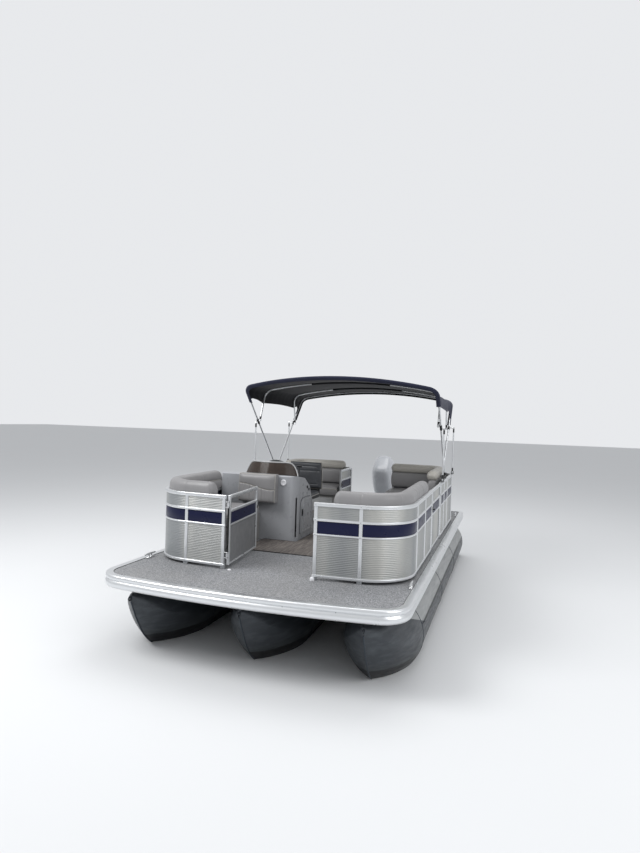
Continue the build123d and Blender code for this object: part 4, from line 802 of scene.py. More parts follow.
class BOAT_OT_gates(bpy.types.Operator):
    """Three gates: round-cornered frames, sheets, stripe, knuckles, seals and latches"""
    bl_idname = "boat.gates"
    bl_label = "Gates"

    def execute(self, context):
        for name, hinge, heading, length, ribbed, to_post in GATES:
            turn = radians(heading)
            ahead = np.array([cos(turn), sin(turn), 0.0])
            side = np.array([-ahead[1], ahead[0], 0.0])
            foot = flat(hinge, 0)

            def at(reach, z, across=0.0):
                return foot + ahead * reach + side * across + UP * z

            frame_bars = []
            for reach in (GATE_NEAR + GATE_STILE / 2, length - GATE_STILE / 2):
                stile = at(reach, GATE_LOW), at(reach, GATE_HIGH)
                frame_bars.append(bar(*stile, side, GATE_THICK, GATE_STILE, 0.005))
            for low, high in RAIL_HEIGHTS:
                low, high = max(low, GATE_LOW), min(high, GATE_HIGH)
                z = (low + high) / 2
                frame_bars.append(bar(at(GATE_NEAR + 0.029, z), at(length - 0.029, z), side, GATE_THICK - 0.001,
                                      high - low, 0.005))
            for z in KNUCKLES:
                frame_bars.append(collar(0.0062, 0.0098, -0.015, 0.015, 0.0005, at(0, z), UP))
                frame_bars.append(bar(at(0.006, z), at(GATE_NEAR + 0.002, z), side, 0.008, 0.028, 0.002))
            solid(name + "_tubes", frame_bars, "rail_metal", name, nodes=(name + "_frame",))

            path = np.array([at(0.047, 0)[:2], at(length - 0.029, 0)[:2]])
            normal = np.broadcast_to(side[:2], (2, 2))
            heights = (SHEET_LOW, SHEET_HIGH) if ribbed else (SHEET_LOW,)
            section = ribs if ribbed else plain
            parts = [carry(section(low, high) + SKIN_OUT, path, normal) for low, high in heights]
            solid(name + "_sheets", parts, "sheet_silver" if ribbed else "gate_grey", name,
                  nodes=(name + "_panels",))
            solid(name + "_band", [carry(plain(*STRIPE) + SKIN_OUT, path, normal)], "navy_paint", name,
                  nodes=(name + "_stripe",))

            near = GATE_NEAR - 0.0035
            seal = [bar(at(near, 0.14), at(near, 0.54), side, 0.016, 0.006, 0.002)]
            for low, high in heights:
                for reach in (0.0505, length - 0.0325):
                    seal.append(bar(at(reach, low), at(reach, high), side, 0.008, 0.006, 0.001))
            solid(name + "_seals", seal, "rubber_black", name)
            catch = length - 0.015
            knob = [(0.004, 0.0), (0.006, 0.002), (0.0052, 0.01), (0.0092, 0.013), (0.0092, 0.019),
                    (0.006, 0.021)]
            latch = [bar(at(catch, 0.41, 0.0125), at(catch, 0.47, 0.0125), side, 0.008, 0.022, 0.003),
                     lathe(knob, at(catch, 0.44, 0.016), side),
                     bar(at(catch, 0.425, -0.0125), at(catch, 0.455, -0.0125), side, 0.006, 0.018, 0.003)]
            solid(name + "_latch", latch, "black_plastic", name)
            heads = [dome(at(reach, z, 0.0127), side, 0.0032, 0.0016)
                     for reach in (GATE_NEAR + 0.015, length - 0.015) for z in (0.055, 0.378, 0.499, 0.626)]
            solid(name + "_screws", heads, "mill_metal", name, angle=60)
            lugs = []
            for z in KNUCKLES:
                lugs.append(collar(0.003, 0.0049, -0.03, 0.03, 0.002, at(0, z), UP))
                for spot in (at(0, z - 0.024), at(0, z + 0.024)):
                    lugs.append(collar(0.0075, 0.0098, -0.004, 0.004, 0.0005, spot, UP))
                    lugs.append(bar(spot, spot + to_post * 0.026, np.cross(UP, to_post), 0.012, 0.007, 0.002))
            solid(name + "_hinge_lugs", lugs, "bright_steel")
        return {"FINISHED"}


def pad(place, low, top, count=(120, 56), crown=None, edge=0.03, seams=(), inner=0.075, axes=None):
    """Boxed cushion over a plan place(u, v) that returns (a, b).

    d is a point's distance from the plan's edge. The top's height is top - crown * exp(-d / 90 mm)
    inside, falls on a quarter circle of radius edge at the rim, and dips along a seam at d = inner
    and at each value of b or a in seams. The boxing bulges by 5 mm between its two edges.
    Returns the closed skin and the loop at the top edge for its piping, placed by axes if given:
    the origin and the directions of a, b and height."""
    crown = sizes().crown if crown is None else crown

    def spread(number):
        share = np.linspace(0, 1, number)
        return 0.6 * (0.5 - 0.5 * np.cos(pi * share)) + 0.4 * share

    a, b = place(*np.meshgrid(*map(spread, count), indexing="ij"))
    quads, edge_index = open_grid(*count)
    plan = np.stack([a.ravel(), b.ravel()], 1)
    border = plan[edge_index]
    following = np.roll(border, -1, 0)
    d = np.full(len(plan), 9.0)
    for start, end in zip(border, following):
        along = end - start
        share = np.clip(((plan - start) @ along) / max(along @ along, 1e-12), 0, 1)
        d = np.minimum(d, np.hypot(*(plan - start - share[:, None] * along).T))
    fall = np.where(d < edge, edge - np.sqrt(np.clip(edge ** 2 - (edge - d) ** 2, 0, None)), 0.0)
    z = top - fall - crown * np.exp(-d / 0.09) - 0.0055 * np.exp(-((d - inner) / 0.0065) ** 2)
    inside = np.clip((d - 0.01) / 0.03, 0, 1)
    for axis, value in seams:
        z -= 0.006 * inside * np.exp(-((plan[:, axis] - value) / 0.0065) ** 2)
    a, b = plan.T
    z += 0.0012 * inside * (np.sin(a * 23 + 1.3) * np.sin(b * 19) + 0.6 * np.sin(a * 47))
    tangent = unit(following - np.roll(border, 1, 0))
    outward = np.stack([tangent[:, 1], -tangent[:, 0]], 1)
    if np.sum(outward * (border - plan.mean(0))) < 0:
        outward = -outward
    rim = z[edge_index]
    verts = [np.column_stack([plan, z])]
    faces = quads.tolist()
    previous = edge_index
    base = len(plan)
    for share in np.linspace(0, 1, 7)[1:]:
        bulge = 0.005 * sin(pi * share) - 0.004 * share ** 4
        height = rim + (low + 0.002 - rim) * share
        verts.append(np.column_stack([border + outward * bulge, height]))
        current = base + np.arange(len(border))
        base += len(border)
        faces += band(previous, current).tolist()
        previous = current
    bottom = np.column_stack([plan, np.full(len(plan), low)])
    bottom[edge_index, :2] = border - outward * 0.004
    verts.append(bottom)
    current = base + edge_index
    faces += band(previous, current).tolist()
    faces += (quads[:, ::-1] + base).tolist()
    points = np.concatenate(verts)
    loop = np.column_stack([border + outward * 0.0008, rim + 0.0012])
    if axes is not None:
        points, loop = (axes[0] + p @ np.stack(axes[1:]) for p in (points, loop))
    return (points, faces), loop


def thin_out(loop, gap=0.012):
    """A loop's points at equal distances."""
    closed = np.concatenate([loop, loop[:1]])
    reach = measure(closed)
    return sample(np.linspace(0, reach[-1], int(reach[-1] / gap), endpoint=False), reach, closed)


def cord(loop, radius, gap=0.012, sides=8):
    """Round cord along a closed loop."""
    return tube(thin_out(loop, gap), radius, sides, loop=True)


def piping(name, cords, body="hull", slot="vinyl_cushion"):
    """Round piping sewn along seams and edges."""
    solid(name, cords, "vinyl_light", body, 80)


def cushion_piece(name, parts, body="hull", material="vinyl_grey", nodes=()):
    """A padded piece that stands for its CAD nodes."""
    solid(name, parts, material, body, 70, nodes)


STARBOARD_AFT = -1.85
PORT_AFT = -2.08
AFT_SEAT_FRONT = -3.83
PORT_SIDE_FRONT = -3.27
SEAT_INSET = 0.046
AFT_INSET = 0.06


def bow_seat(aft, inner, side):
    """Plan of a bow seat: across from inner to the fence, forward to the fence's bowed front."""
    def place(u, v):
        y = inner + (FENCE.half - SEAT_INSET - inner) * v
        return aft + (FENCE.front_x(y, SEAT_INSET) - aft) * u, y * side
    return place


def stern_seat(front, inner, side):
    """Plan of a stern seat: across from inner to the fence's side, aft to the fence's stern corner."""
    def place(u, v):
        y = inner + (FENCE.half - AFT_INSET - inner) * v
        radius = FENCE.aft_corner - AFT_INSET
        past = np.clip(y - (FENCE.half - FENCE.aft_corner), 0, radius)
        aft = FENCE_STERN + FENCE.aft_corner - np.sqrt(np.clip(radius ** 2 - past ** 2, 0, None))
        return front + (aft - front) * u, y * side
    return place


def straight_seat(front, aft, inner, side):
    """Plan of a seat with four straight edges along the side."""
    def place(u, v):
        return front + (aft - front) * u, (inner + (FENCE.half - AFT_INSET - inner) * v) * side
    return place


class BOAT_OT_seats(bpy.types.Operator):
    """Cushions of the lounges with crowned tops, inset seams and piping, on moulded bases"""
    bl_idname = "boat.seats"
    bl_label = "Seats"

    def execute(self, context):
        # Seams as (0, x) across the seat or (1, y) along it
        jobs = (
            ("bow_seat_starboard", bow_seat(STARBOARD_AFT, SEAT_EDGE, -1), "bow", ((0, -1.3),)),
            ("bow_seat_port", bow_seat(PORT_AFT, SEAT_EDGE - 0.06, 1), "bow", ((0, -1.1), (0, -1.6))),
            ("stern_seat_starboard", stern_seat(AFT_SEAT_FRONT, 0.315, -1), "aft", ((1, -0.72),)),
            ("stern_seat_port", stern_seat(AFT_SEAT_FRONT - 0.003, 0.355, 1), "aft", ()),
            ("stern_seat_side", straight_seat(PORT_SIDE_FRONT, AFT_SEAT_FRONT + 0.003, 0.65, 1), "aft", ()),
        )
        loops = []
        for name, place, end, seams in jobs:
            skin, loop = pad(place, SEAT_LOW + 0.001, SEAT_TOP, seams=seams)
            cushion_piece(name, [skin], nodes=(end + "_seat_cushions",))
            loops.append(loop)
        piping("seat_piping", [cord(loop, 0.0042) for loop in loops])
        return {"FINISHED"}


def soften(points, times=2):
    """Closed outline with its corners cut off: each side keeps its middle half, over and over."""
    points = np.asarray(points, float)
    for _ in range(times):
        after = np.roll(points, -1, 0)
        points = np.stack([0.75 * points + 0.25 * after, 0.25 * points + 0.75 * after], 1).reshape(-1, 2)
    return points


# Roll-top back of the bow lounges, seen along its run: distance inboard, height
BOW_ROLL = soften((
    (0.006, 0.552), (0.002, 0.6), (0.001, 0.66), (0.006, 0.706), (0.036, 0.738), (0.078, 0.739), (0.116, 0.725),
    (0.137, 0.69), (0.136, 0.655), (0.124, 0.643), (0.14, 0.63), (0.143, 0.598), (0.136, 0.562), (0.112, 0.538),
    (0.06, 0.537), (0.02, 0.539)))
ROLL_SEAM = (0.126, 0.643)
# Upper roll and lower panel of the aft backs
AFT_ROLL = soften((
    (0.004, 0.64), (0.0, 0.69), (0.01, 0.725), (0.045, 0.74), (0.09, 0.738), (0.124, 0.716), (0.13, 0.67),
    (0.118, 0.632), (0.08, 0.62), (0.03, 0.622)))
AFT_PANEL = soften((
    (0.018, 0.414), (0.014, 0.52), (0.016, 0.624), (0.06, 0.63), (0.104, 0.622), (0.118, 0.56), (0.121, 0.48),
    (0.108, 0.42), (0.06, 0.412)))


def roll_back(section, path, outward, seams, end=0.055):
    """Stuffed roll carried along a path, with rounded ends and stitched seams.

    At each row the section is scaled about its middle: by the quarter ellipse
    sqrt(1 - (1 - s / end)^2) near an end, and less by 3.5% on a seam; between seams it puffs 1.5%."""
    reach = measure(path)
    total = reach[-1]
    ends = end * (1 - np.cos(np.linspace(0, pi / 2, 9)))
    fine = np.unique(np.concatenate([np.linspace(0, total, int(total / 0.022)), ends, total - ends,
                                     *[s + np.linspace(-0.015, 0.015, 7) for s in seams]]))
    near = np.clip(np.minimum(fine, total - fine) / end, 0.012, 1)
    scale = np.sqrt(1 - (1 - near) ** 2)
    marks = np.array([0.0, *seams, total])
    gap = np.min(np.abs(fine[:, None] - marks[None]), axis=1)
    puff = 1 + 0.015 * np.clip(gap / 0.2, 0, 1)
    for s in seams:
        puff = puff - 0.035 * np.exp(-((fine - s) / 0.0055) ** 2)
    middle = section.mean(0)
    wobble = 1 + 0.004 * np.sin(fine * 31)[:, None] * np.sin(np.linspace(0, TAU * 2, len(section)))[None]
    grown = (section - middle)[None] * (puff[:, None] * wobble)[..., None]
    grown = grown * np.stack([0.25 + 0.75 * scale, scale], 1)[:, None]
    profile = grown + middle
    profile[..., 0] = -np.clip(profile[..., 0], 0.0005, None)
    return carry(profile, sample(fine, reach, path), unit(sample(fine, reach, outward)))


def seam_cord(point, path, outward):
    """Piping that follows one point of a roll's section along its path."""
    line = (path - outward * point[0])[2:-2]
    return tube(np.column_stack([line, np.full(len(line), point[1])]), 0.0032, 8)


class BOAT_OT_backs(bpy.types.Operator):
    """Roll-top backs that follow the fence, high aft backs and the quilted back on the console"""
    bl_idname = "boat.backs"
    bl_label = "Backs"

    def execute(self, context):
        for name, start, aft, side, seams in (
            ("bow_backrest_starboard", SEAT_EDGE - 0.05, STARBOARD_AFT + 0.02, -1, (0.28, 0.74, 1.14)),
            ("bow_backrest_port", SEAT_EDGE - 0.06, PORT_AFT, 1, (0.24, 0.62, 1.05, 1.42)),
        ):
            path, outward = BACKS.run(0.0323, start, end_x=aft, side=side, step=0.02)
            cushion_piece(name + "_roll", [roll_back(BOW_ROLL, path, outward, seams)], nodes=(name,))
            point = BOW_ROLL[np.argmin(np.hypot(*(BOW_ROLL - ROLL_SEAM).T))]
            piping(name + "_piping", [seam_cord(point, path, outward)])
        for name, front, stern, side, seams in (
            ("stern_back_starboard", AFT_SEAT_FRONT, 0.315, -1, (0.42,)),
            ("stern_back_port", PORT_SIDE_FRONT, 0.355, 1, (0.55, 1.05)),
        ):
            path, outward = BACKS.run(0.096, from_x=front, stern_y=stern, side=side, step=0.02)
            cushion_piece(name + "_roll", [roll_back(AFT_ROLL, path, outward, seams)], material="vinyl_light",
                          nodes=("aft_backrests",))
            cushion_piece(name + "_panel", [roll_back(AFT_PANEL, path, outward, seams, end=0.03)],
                          nodes=("aft_backrests",))
        self.console_back()
        return {"FINISHED"}

    def console_back(self):
        """Slab over the console's front: smooth upper roll, wavy seam and upright channels under it.

        The face stands at front + 72 mm + 18 mm * (1 - h) + bulge, where the bulge is a rounded
        square in width and height, the seam's height falls on a cosine and the channels are a
        rectified sine across the lower part."""
        front, inner, outer = CONSOLE_FRONT, -0.452, -0.878
        low, high = SEAT_TOP + 0.002, 0.716
        cols = 130
        h, w = np.meshgrid(np.linspace(0, 1, 90), np.linspace(0, 1, cols), indexing="ij")
        y = outer + (inner - outer) * w
        z = low + (high - low) * h
        wave = 0.61 - 0.06 * (0.5 - 0.5 * np.cos(pi * np.clip((w - 0.08) / 0.84, 0, 1)))
        edge = (1 - np.abs(2 * w - 1) ** 7) * (1 - np.abs(2 * h - 1) ** 7)
        bulge = 0.04 * edge ** 0.5
        upper = 1 / (1 + np.exp(-(z - wave) / 0.003))
        swell = 0.016 * np.sqrt(np.clip((z - wave) / (high - wave), 0, 1)) * edge
        channel = np.abs(np.sin(pi * w * 9)) ** 0.5
        lower = (1 - upper) * 0.006 * channel * np.clip(edge * 2.5, 0, 1)
        groove = 0.009 * np.exp(-((z - wave) / 0.0045) ** 2)
        x = front + 0.072 + 0.018 * (1 - h) + bulge + swell + lower - groove
        face = np.stack([x, y, z], -1)
        back = np.stack([np.full_like(x, front + 0.001), y, z], -1)
        cushion_piece("console_back_slab", [sheet_shell(face, back)], nodes=("console_backrest",))
        seam = [[np.interp(wave[0, k], z[:, k], x[:, k]) + 0.0015, y[0, k], wave[0, k]]
                for k in range(3, cols - 3)]
        edge_line = np.concatenate([face[2:-1, 1], face[-2, 1:-1], face[2:-1, -2][::-1]]) + [0.001, 0, 0]
        piping("console_back_piping", [tube(seam, 0.0034, 8), tube(edge_line, 0.0034, 8)])


# Console and helm
CONSOLE_FRONT, CONSOLE_SIDE, DOOR_FACE = -2.0, -0.235, -0.2185
DASH_TOP = np.array([-2.25, 0.0, 0.668])
DASH_FOOT = np.array([-2.43, 0.0, 0.557])
DASH_RUN = unit(DASH_TOP - DASH_FOOT)
DASH_OUT = np.cross(DASH_RUN, PORT)
WHEEL = np.array([-2.47, -0.64, 0.69])
WHEEL_AXIS = np.array([-cos(radians(32)), 0.0, sin(radians(32))])
WHEEL_DOWN = np.cross(WHEEL_AXIS, PORT)
THROTTLE = DASH_FOOT + DASH_RUN * 0.11 - PORT * 0.35
CHAIR = np.array([-3.06, -0.6, 0.0])


def arc3(a, b, c, count):
    """Points from a to c on the circle through three plan points, and its centre."""
    (ax, ay), (bx, by), (cx, cy) = a, b, c
    d = 2 * (ax * (by - cy) + bx * (cy - ay) + cx * (ay - by))
    sa, sb, sc = ax * ax + ay * ay, bx * bx + by * by, cx * cx + cy * cy
    centre = np.array([(sa * (by - cy) + sb * (cy - ay) + sc * (ay - by)) / d,
                       (sa * (cx - bx) + sb * (ax - cx) + sc * (bx - ax)) / d])
    first, last = (atan2(y - centre[1], x - centre[0]) for x, y in (a, c))
    turn = np.linspace(first, last, count)
    return centre + dist(a, centre) * np.stack([np.cos(turn), np.sin(turn)], 1), centre


def on_dash(run, y, out=0.0):
    """Point on the dash: up its slope, to port and off its face."""
    return DASH_FOOT + DASH_RUN * run + PORT * y + DASH_OUT * out


class BOAT_OT_console(bpy.types.Operator):
    """Smoked screen with its moulded rim, dash with gauges and switches, door mouldings and fittings"""
    bl_idname = "boat.console"
    bl_label = "Console"

    def execute(self, context):
        self.screen()
        self.dash()
        self.sides()
        return {"FINISHED"}

    def screen(self):
        """Bowed screen: ruled between a low and a high arc, from the dash up to a share
        1 - 0.8 |s|^9 of its height, where s runs from -1 to 1 along the arc."""
        count, rise = 81, 0.192
        low, middle = arc3((-2.215, -0.96), (-2.06, -0.632), (-2.215, -0.304), count)
        high, _ = arc3((-2.29, -0.915), (-2.135, -0.632), (-2.29, -0.349), count)
        s = np.linspace(-1, 1, count)
        foot = np.zeros(count)
        slope = (0.704 - DASH_TOP[2]) / (-2.014 - DASH_TOP[0])
        for _ in range(4):
            x = low[:, 0] + (high[:, 0] - low[:, 0]) * foot
            foot = (DASH_TOP[2] + slope * (x - DASH_TOP[0]) + 0.0006 - 0.64) / rise
        share = foot + (1 - foot) * (1 - 0.8 * np.abs(s) ** 9) * np.linspace(0, 1, 16)[:, None]
        plan = low + (high - low) * share[..., None]
        face = np.concatenate([plan, (0.64 + rise * share)[..., None]], -1)
        inward = np.concatenate([unit(plan - middle), np.zeros_like(plan[..., :1])], -1)
        solid("screen_pane", [sheet_shell(face, face - inward * 0.0065)], "smoked_acrylic",
              nodes=("windscreen",))
        middle_line = face - inward * 0.00325
        rim = np.concatenate([middle_line[4:-1, 0], middle_line[-1], middle_line[4:-1, -1][::-1]])
        solid("screen_rim", [tube(rim, 0.0085, 10)], "gelcoat_rim", angle=80)
        seat = np.column_stack([middle_line[0, :, :2], middle_line[0, :, 2] + 0.0052])
        solid("screen_seat", [tube(seat, 0.0058, 8)], "rubber_black", angle=80)

    def dash(self):
        """Black panel with two gauges, the wheel's boot and four rocker switches."""
        start, end = on_dash(0.108, -0.905, 0.0024), on_dash(0.108, -0.395, 0.0024)
        parts = [bar(start, end, DASH_RUN, 0.168, 0.004, 0.0019)]
        bezel = [(0.0355, 0.0046), (0.043, 0.0046), (0.043, 0.0095), (0.0405, 0.0122), (0.0375, 0.0112),
                 (0.0355, 0.0085)]
        boot = [(0.03, 0.0046), (0.048, 0.0048), (0.044, 0.012), (0.033, 0.026), (0.027, 0.036),
                (0.0245, 0.0365)]
        faces, marks = [], []

        def mark(middle, turn, start, end, lift, width, thick, soft):
            ray = DASH_RUN * cos(turn) + PORT * sin(turn)
            face = middle + DASH_OUT * lift
            marks.append(bar(face + ray * start, face + ray * end, np.cross(ray, DASH_OUT), width, thick, soft))

        for y in (-0.5, -0.78):
            middle = on_dash(0.118, y)
            parts.append(lathe(bezel, middle, DASH_OUT, 36))
            faces.append(lathe([(0.0352, 0.0048), (0.0352, 0.0078)], middle, DASH_OUT, 32))
            for step in range(11):
                start = 0.026 if step % 5 == 0 else 0.029
                mark(middle, radians(-135 + 27 * step), start, 0.0325, 0.0081, 0.0013, 0.0004, 0.0001)
            mark(middle, -2.2, -0.006, 0.024, 0.0084, 0.0018, 0.0006, 0.0002)
            marks.append(lathe([(0.003, 0.0079), (0.003, 0.0095)], middle, DASH_OUT, 12))
        parts.append(lathe(boot, on_dash(0.106, -0.64), unit(DASH_OUT * 0.8 + WHEEL_AXIS * 0.4), 28))
        solid("dash_panel", parts, "black_plastic")
        solid("gauge_faces", faces, "dial_face")
        solid("gauge_marks", marks, "dial_mark")
        rockers = []
        for y in (-0.56, -0.596, -0.684, -0.72):
            start, end = on_dash(0.046, y, 0.0065), on_dash(0.046, y - 0.013, 0.0065)
            rockers.append(bar(start, end, DASH_RUN, 0.028, 0.0042, 0.002))
            start, end = on_dash(0.05, y - 0.002, 0.0098), on_dash(0.05, y - 0.011, 0.0098)
            rockers.append(bar(start, end, DASH_RUN + DASH_OUT * 0.25, 0.014, 0.0032, 0.0015))
        solid("dash_rockers", rockers, "dial_face")

    def sides(self):
        """What sits on the console's front and inboard side, and the door's moulding, latch and screws."""
        at = (CONSOLE_FRONT, -0.392, 0.628)
        rim = [(0.022, 0.0003), (0.034, 0.0003), (0.0345, 0.005), (0.031, 0.0105), (0.0255, 0.012),
               (0.022, 0.009)]
        face = [(0.0219, 0.0004), (0.0219, 0.0045), (0.012, 0.0068)]
        solid("console_ring", [lathe(rim, at, FORE, 32)], "white_nylon", angle=60)
        solid("console_ring_face", [lathe(face, at, FORE, 28)], "bright_steel", angle=60)
        plug = [(0.0175, 0.0003), (0.018, 0.003), (0.015, 0.0062), (0.0125, 0.0058), (0.0118, 0.003)]
        plugs = [lathe(plug, (x, CONSOLE_SIDE, z), PORT) for x, z in ((-2.335, 0.56), (-2.392, 0.53))]
        solid("console_plugs", plugs, "black_plastic", angle=50)

        def arch(y, x0, x1, z0, z1, radius):
            """Upright outline on the console's side with a straight foot and two round upper corners."""
            x, z, turn = x1 + radius, z1 - radius, np.linspace(0, pi / 2, 12)
            run = np.concatenate([[x1], x - radius * np.cos(turn), x0 - radius + radius * np.sin(turn), [x0]])
            rise = np.concatenate([[z0], z + radius * np.sin(turn), z + radius * np.cos(turn), [z0]])
            return np.column_stack([run, np.full(len(run), y), rise])

        bead = cord(arch(DOOR_FACE + 0.0028, -2.14, -2.47, 0.092, 0.43, 0.08), 0.0032, 0.01)
        solid("store_door_bead", [bead], "gelcoat_rim", "console_door", angle=80)
        inner, outer = DOOR_FACE + 0.0042, DOOR_FACE + 0.0102
        latch = [bar([-2.137, inner, 0.262], [-2.137, inner, 0.338], FORE, 0.026, 0.0075, 0.0034),
                 bar([-2.137, outer, 0.276], [-2.137, outer, 0.318], FORE, 0.015, 0.0055, 0.0025)]
        solid("store_door_latch", latch, "black_plastic", "console_door")
        seal = cord(arch(CONSOLE_SIDE + 0.0012, -2.1145, -2.4955, 0.064, 0.4555, 0.095), 0.0022, sides=6)
        solid("store_door_seal", [seal], "rubber_black", angle=80)


def on_wheel(a, b, c=0.0):
    """Point on the steering wheel: a to port, b down, c towards the helm."""
    return WHEEL + PORT * a + WHEEL_DOWN * b + WHEEL_AXIS * c


class BOAT_OT_helm(bpy.types.Operator):
    """Steering wheel with grips and spokes, throttle, chair with piped pads and its pedestal"""
    bl_idname = "boat.helm"
    bl_label = "Helm"

    def execute(self, context):
        self.wheel()
        self.throttle()
        self.chair()
        return {"FINISHED"}

    def wheel(self):
        """Rim with a grooved grip, hub and three flat spokes."""
        turn = np.linspace(0, TAU, 144, endpoint=False)
        rim = np.array([on_wheel(0.165 * cos(t), 0.165 * sin(t)) for t in turn])
        grip = 0.0132 + 0.0007 * np.cos(turn * 36) * (np.abs(np.sin(turn * 1.5)) > 0.35)
        hub = [(0.02, -0.045), (0.03, -0.0445), (0.0335, -0.03), (0.0335, -0.006), (0.03, 0.001),
               (0.02, 0.0045), (0.006, 0.005)]
        parts = [tube(rim, grip, 14, loop=True), lathe(hub, WHEEL, WHEEL_AXIS, 32)]
        solid("helm_wheel", parts, "black_plastic", "steering_wheel", 60, ("steering_wheel",))
        spokes = []
        for angle in (0, 90, 180):
            a, b = cos(radians(angle)), sin(radians(angle))
            rows = []
            for share in np.linspace(0, 1, 9):
                reach = 0.024 + 0.136 * share
                wide = 0.034 - 0.016 * sin(pi * min(share * 0.9, 1)) ** 0.8
                section = ring(wide, 0.0055, 0.0026)
                lift = -0.013 + 0.01 * share ** 2
                rows.append([on_wheel(a * reach - b * s, b * reach + a * s, lift + c) for s, c in section])
            spokes.append(shell(np.array(rows)))
        solid("helm_wheel_spokes", spokes, "bright_steel", "steering_wheel", 50)

    def throttle(self):
        """Housing on the dash, lever and the grip across its end."""
        lever = THROTTLE + DASH_OUT * 0.036
        grip = lever + np.array([-0.02, 0.0, 0.14])
        base = THROTTLE + DASH_OUT * 0.0195
        knob = [(0.006, -0.03), (0.012, -0.0285), (0.0142, -0.02), (0.013, 0.0), (0.0142, 0.02),
                (0.012, 0.0285), (0.006, 0.03)]
        parts = [bar(base - DASH_RUN * 0.06, base + DASH_RUN * 0.06, PORT, 0.062, 0.0385, 0.013),
                 lathe([(0.02, 0.038), (0.023, 0.0385), (0.02, 0.044), (0.012, 0.0465)], THROTTLE, DASH_OUT),
                 tube([lever - DASH_OUT * 0.004, lever * 0.6 + grip * 0.4, grip], (0.0095, 0.0075, 0.008)),
                 lathe(knob, grip, PORT, 20)]
        solid("throttle_lever", parts, "black_plastic", angle=50, nodes=("throttle",))

    def chair(self):
        """Pan with padded seat and back, the plate under it and the pedestal with its bolts."""
        pan = [bar(CHAIR + [-0.205, 0, 0.338], CHAIR + [0.195, 0, 0.338], PORT, 0.42, 0.03, 0.012),
               bar(CHAIR + [-0.255, 0, 0.352], CHAIR + [-0.272, 0, 0.72], PORT, 0.4, 0.02, 0.008)]
        solid("helm_chair_shell", pan, "black_plastic", "helm_chair", nodes=("helm_chair",))

        def seat(u, v):
            edge = 0.032 * (2 * v - 1) ** 4
            return 0.226 - edge - (0.4 - edge) * u, 0.232 * (2 * v - 1) * (1 - 0.05 * u)

        def back(u, v):
            return 0.336 * u, (0.23 - 0.02 * u ** 3) * (2 * v - 1)

        lean = radians(4)
        upright = (CHAIR, FORE, PORT, UP)
        leant = (CHAIR + [-0.252, 0, 0.428], (-sin(lean), 0, cos(lean)), PORT, (cos(lean), 0, sin(lean)))
        cords = []
        for name, (skin, loop) in (
            ("seat", pad(seat, 0.352, 0.43, (60, 60), 0.02, 0.034, ((0, 0.06),), 0.06, upright)),
            ("back", pad(back, 0.001, 0.052, (56, 60), 0.016, 0.026, ((0, 0.225),), 0.055, leant)),
        ):
            cushion_piece("helm_chair_" + name, [skin], "helm_chair", "vinyl_dark", ("helm_chair",))
            cords.append(cord(loop, 0.0038))
        piping("helm_chair_piping", cords, "helm_chair", "chair_vinyl")
        plate = [bar(CHAIR + [-0.15, 0, 0.3062], CHAIR + [0.15, 0, 0.3062], PORT, 0.3, 0.011, 0.004),
                 lathe([(0.05, 0.3008), (0.06, 0.301), (0.06, 0.304), (0.05, 0.305)], CHAIR, UP, 32)]
        solid("helm_chair_plate", plate, "mill_metal", "helm_chair", nodes=("helm_chair",))
        post = [(0.149, 0.0003), (0.15, 0.003), (0.148, 0.0075), (0.12, 0.0118), (0.07, 0.014), (0.05, 0.022),
                (0.0385, 0.042), (0.036, 0.07), (0.036, 0.24), (0.03, 0.241), (0.03, 0.2995)]
        solid("helm_post", [lathe(post, CHAIR, UP, 48)], "bright_steel", nodes=("helm_pedestal",))
        bolts = [dome(CHAIR + [0.12 * cos(t), 0.12 * sin(t), 0.0112], UP, 0.0065, 0.0045)
                 for t in np.linspace(0, TAU, 6, endpoint=False)]
        solid("helm_post_bolts", bolts, "mill_metal")


# Bimini top
PIVOT = np.array([-3.62, 0.0, 0.664])
BOW_CORNER = 0.13
STRUT_Y = 1.192


def heading(angle):
    """Unit vector in the side view, from the bow upwards."""
    turn = radians(angle)
    return np.array([cos(turn), 0.0, sin(turn)])


# Places on the legs of the front and the rear bow: head of the upright, foot of the second bow
FRONT_STOPS, REAR_STOPS = (0.85, 0.89), (0.84, 0.822)
FRONT_ANGLE, REAR_ANGLE = 44.6, 134.2
FRONT_FOOT2 = PIVOT + heading(FRONT_ANGLE) * FRONT_STOPS[1]
REAR_FOOT2 = PIVOT + heading(REAR_ANGLE) * REAR_STOPS[1]
# Bows from the front: body, foot, angle, reach, half width, rise, canvas lift, bare length of leg, tail's width
BOWS = (
    ("bimini_front", PIVOT, FRONT_ANGLE, 1.63, 1.155, 0.17, 0.017, 1.215, 0.23),
    ("bimini_front_second", FRONT_FOOT2, 112.0, 0.545, 1.125, 0.13, 0.0125, 0.345, 0.16),
    ("bimini_rear_second", REAR_FOOT2, 77.8, 0.535, 1.095, 0.13, 0.0125, 0.335, 0.16),
    ("bimini_rear", PIVOT, REAR_ANGLE, 1.52, 1.125, 0.17, 0.017, 0.9, 0.42),
)


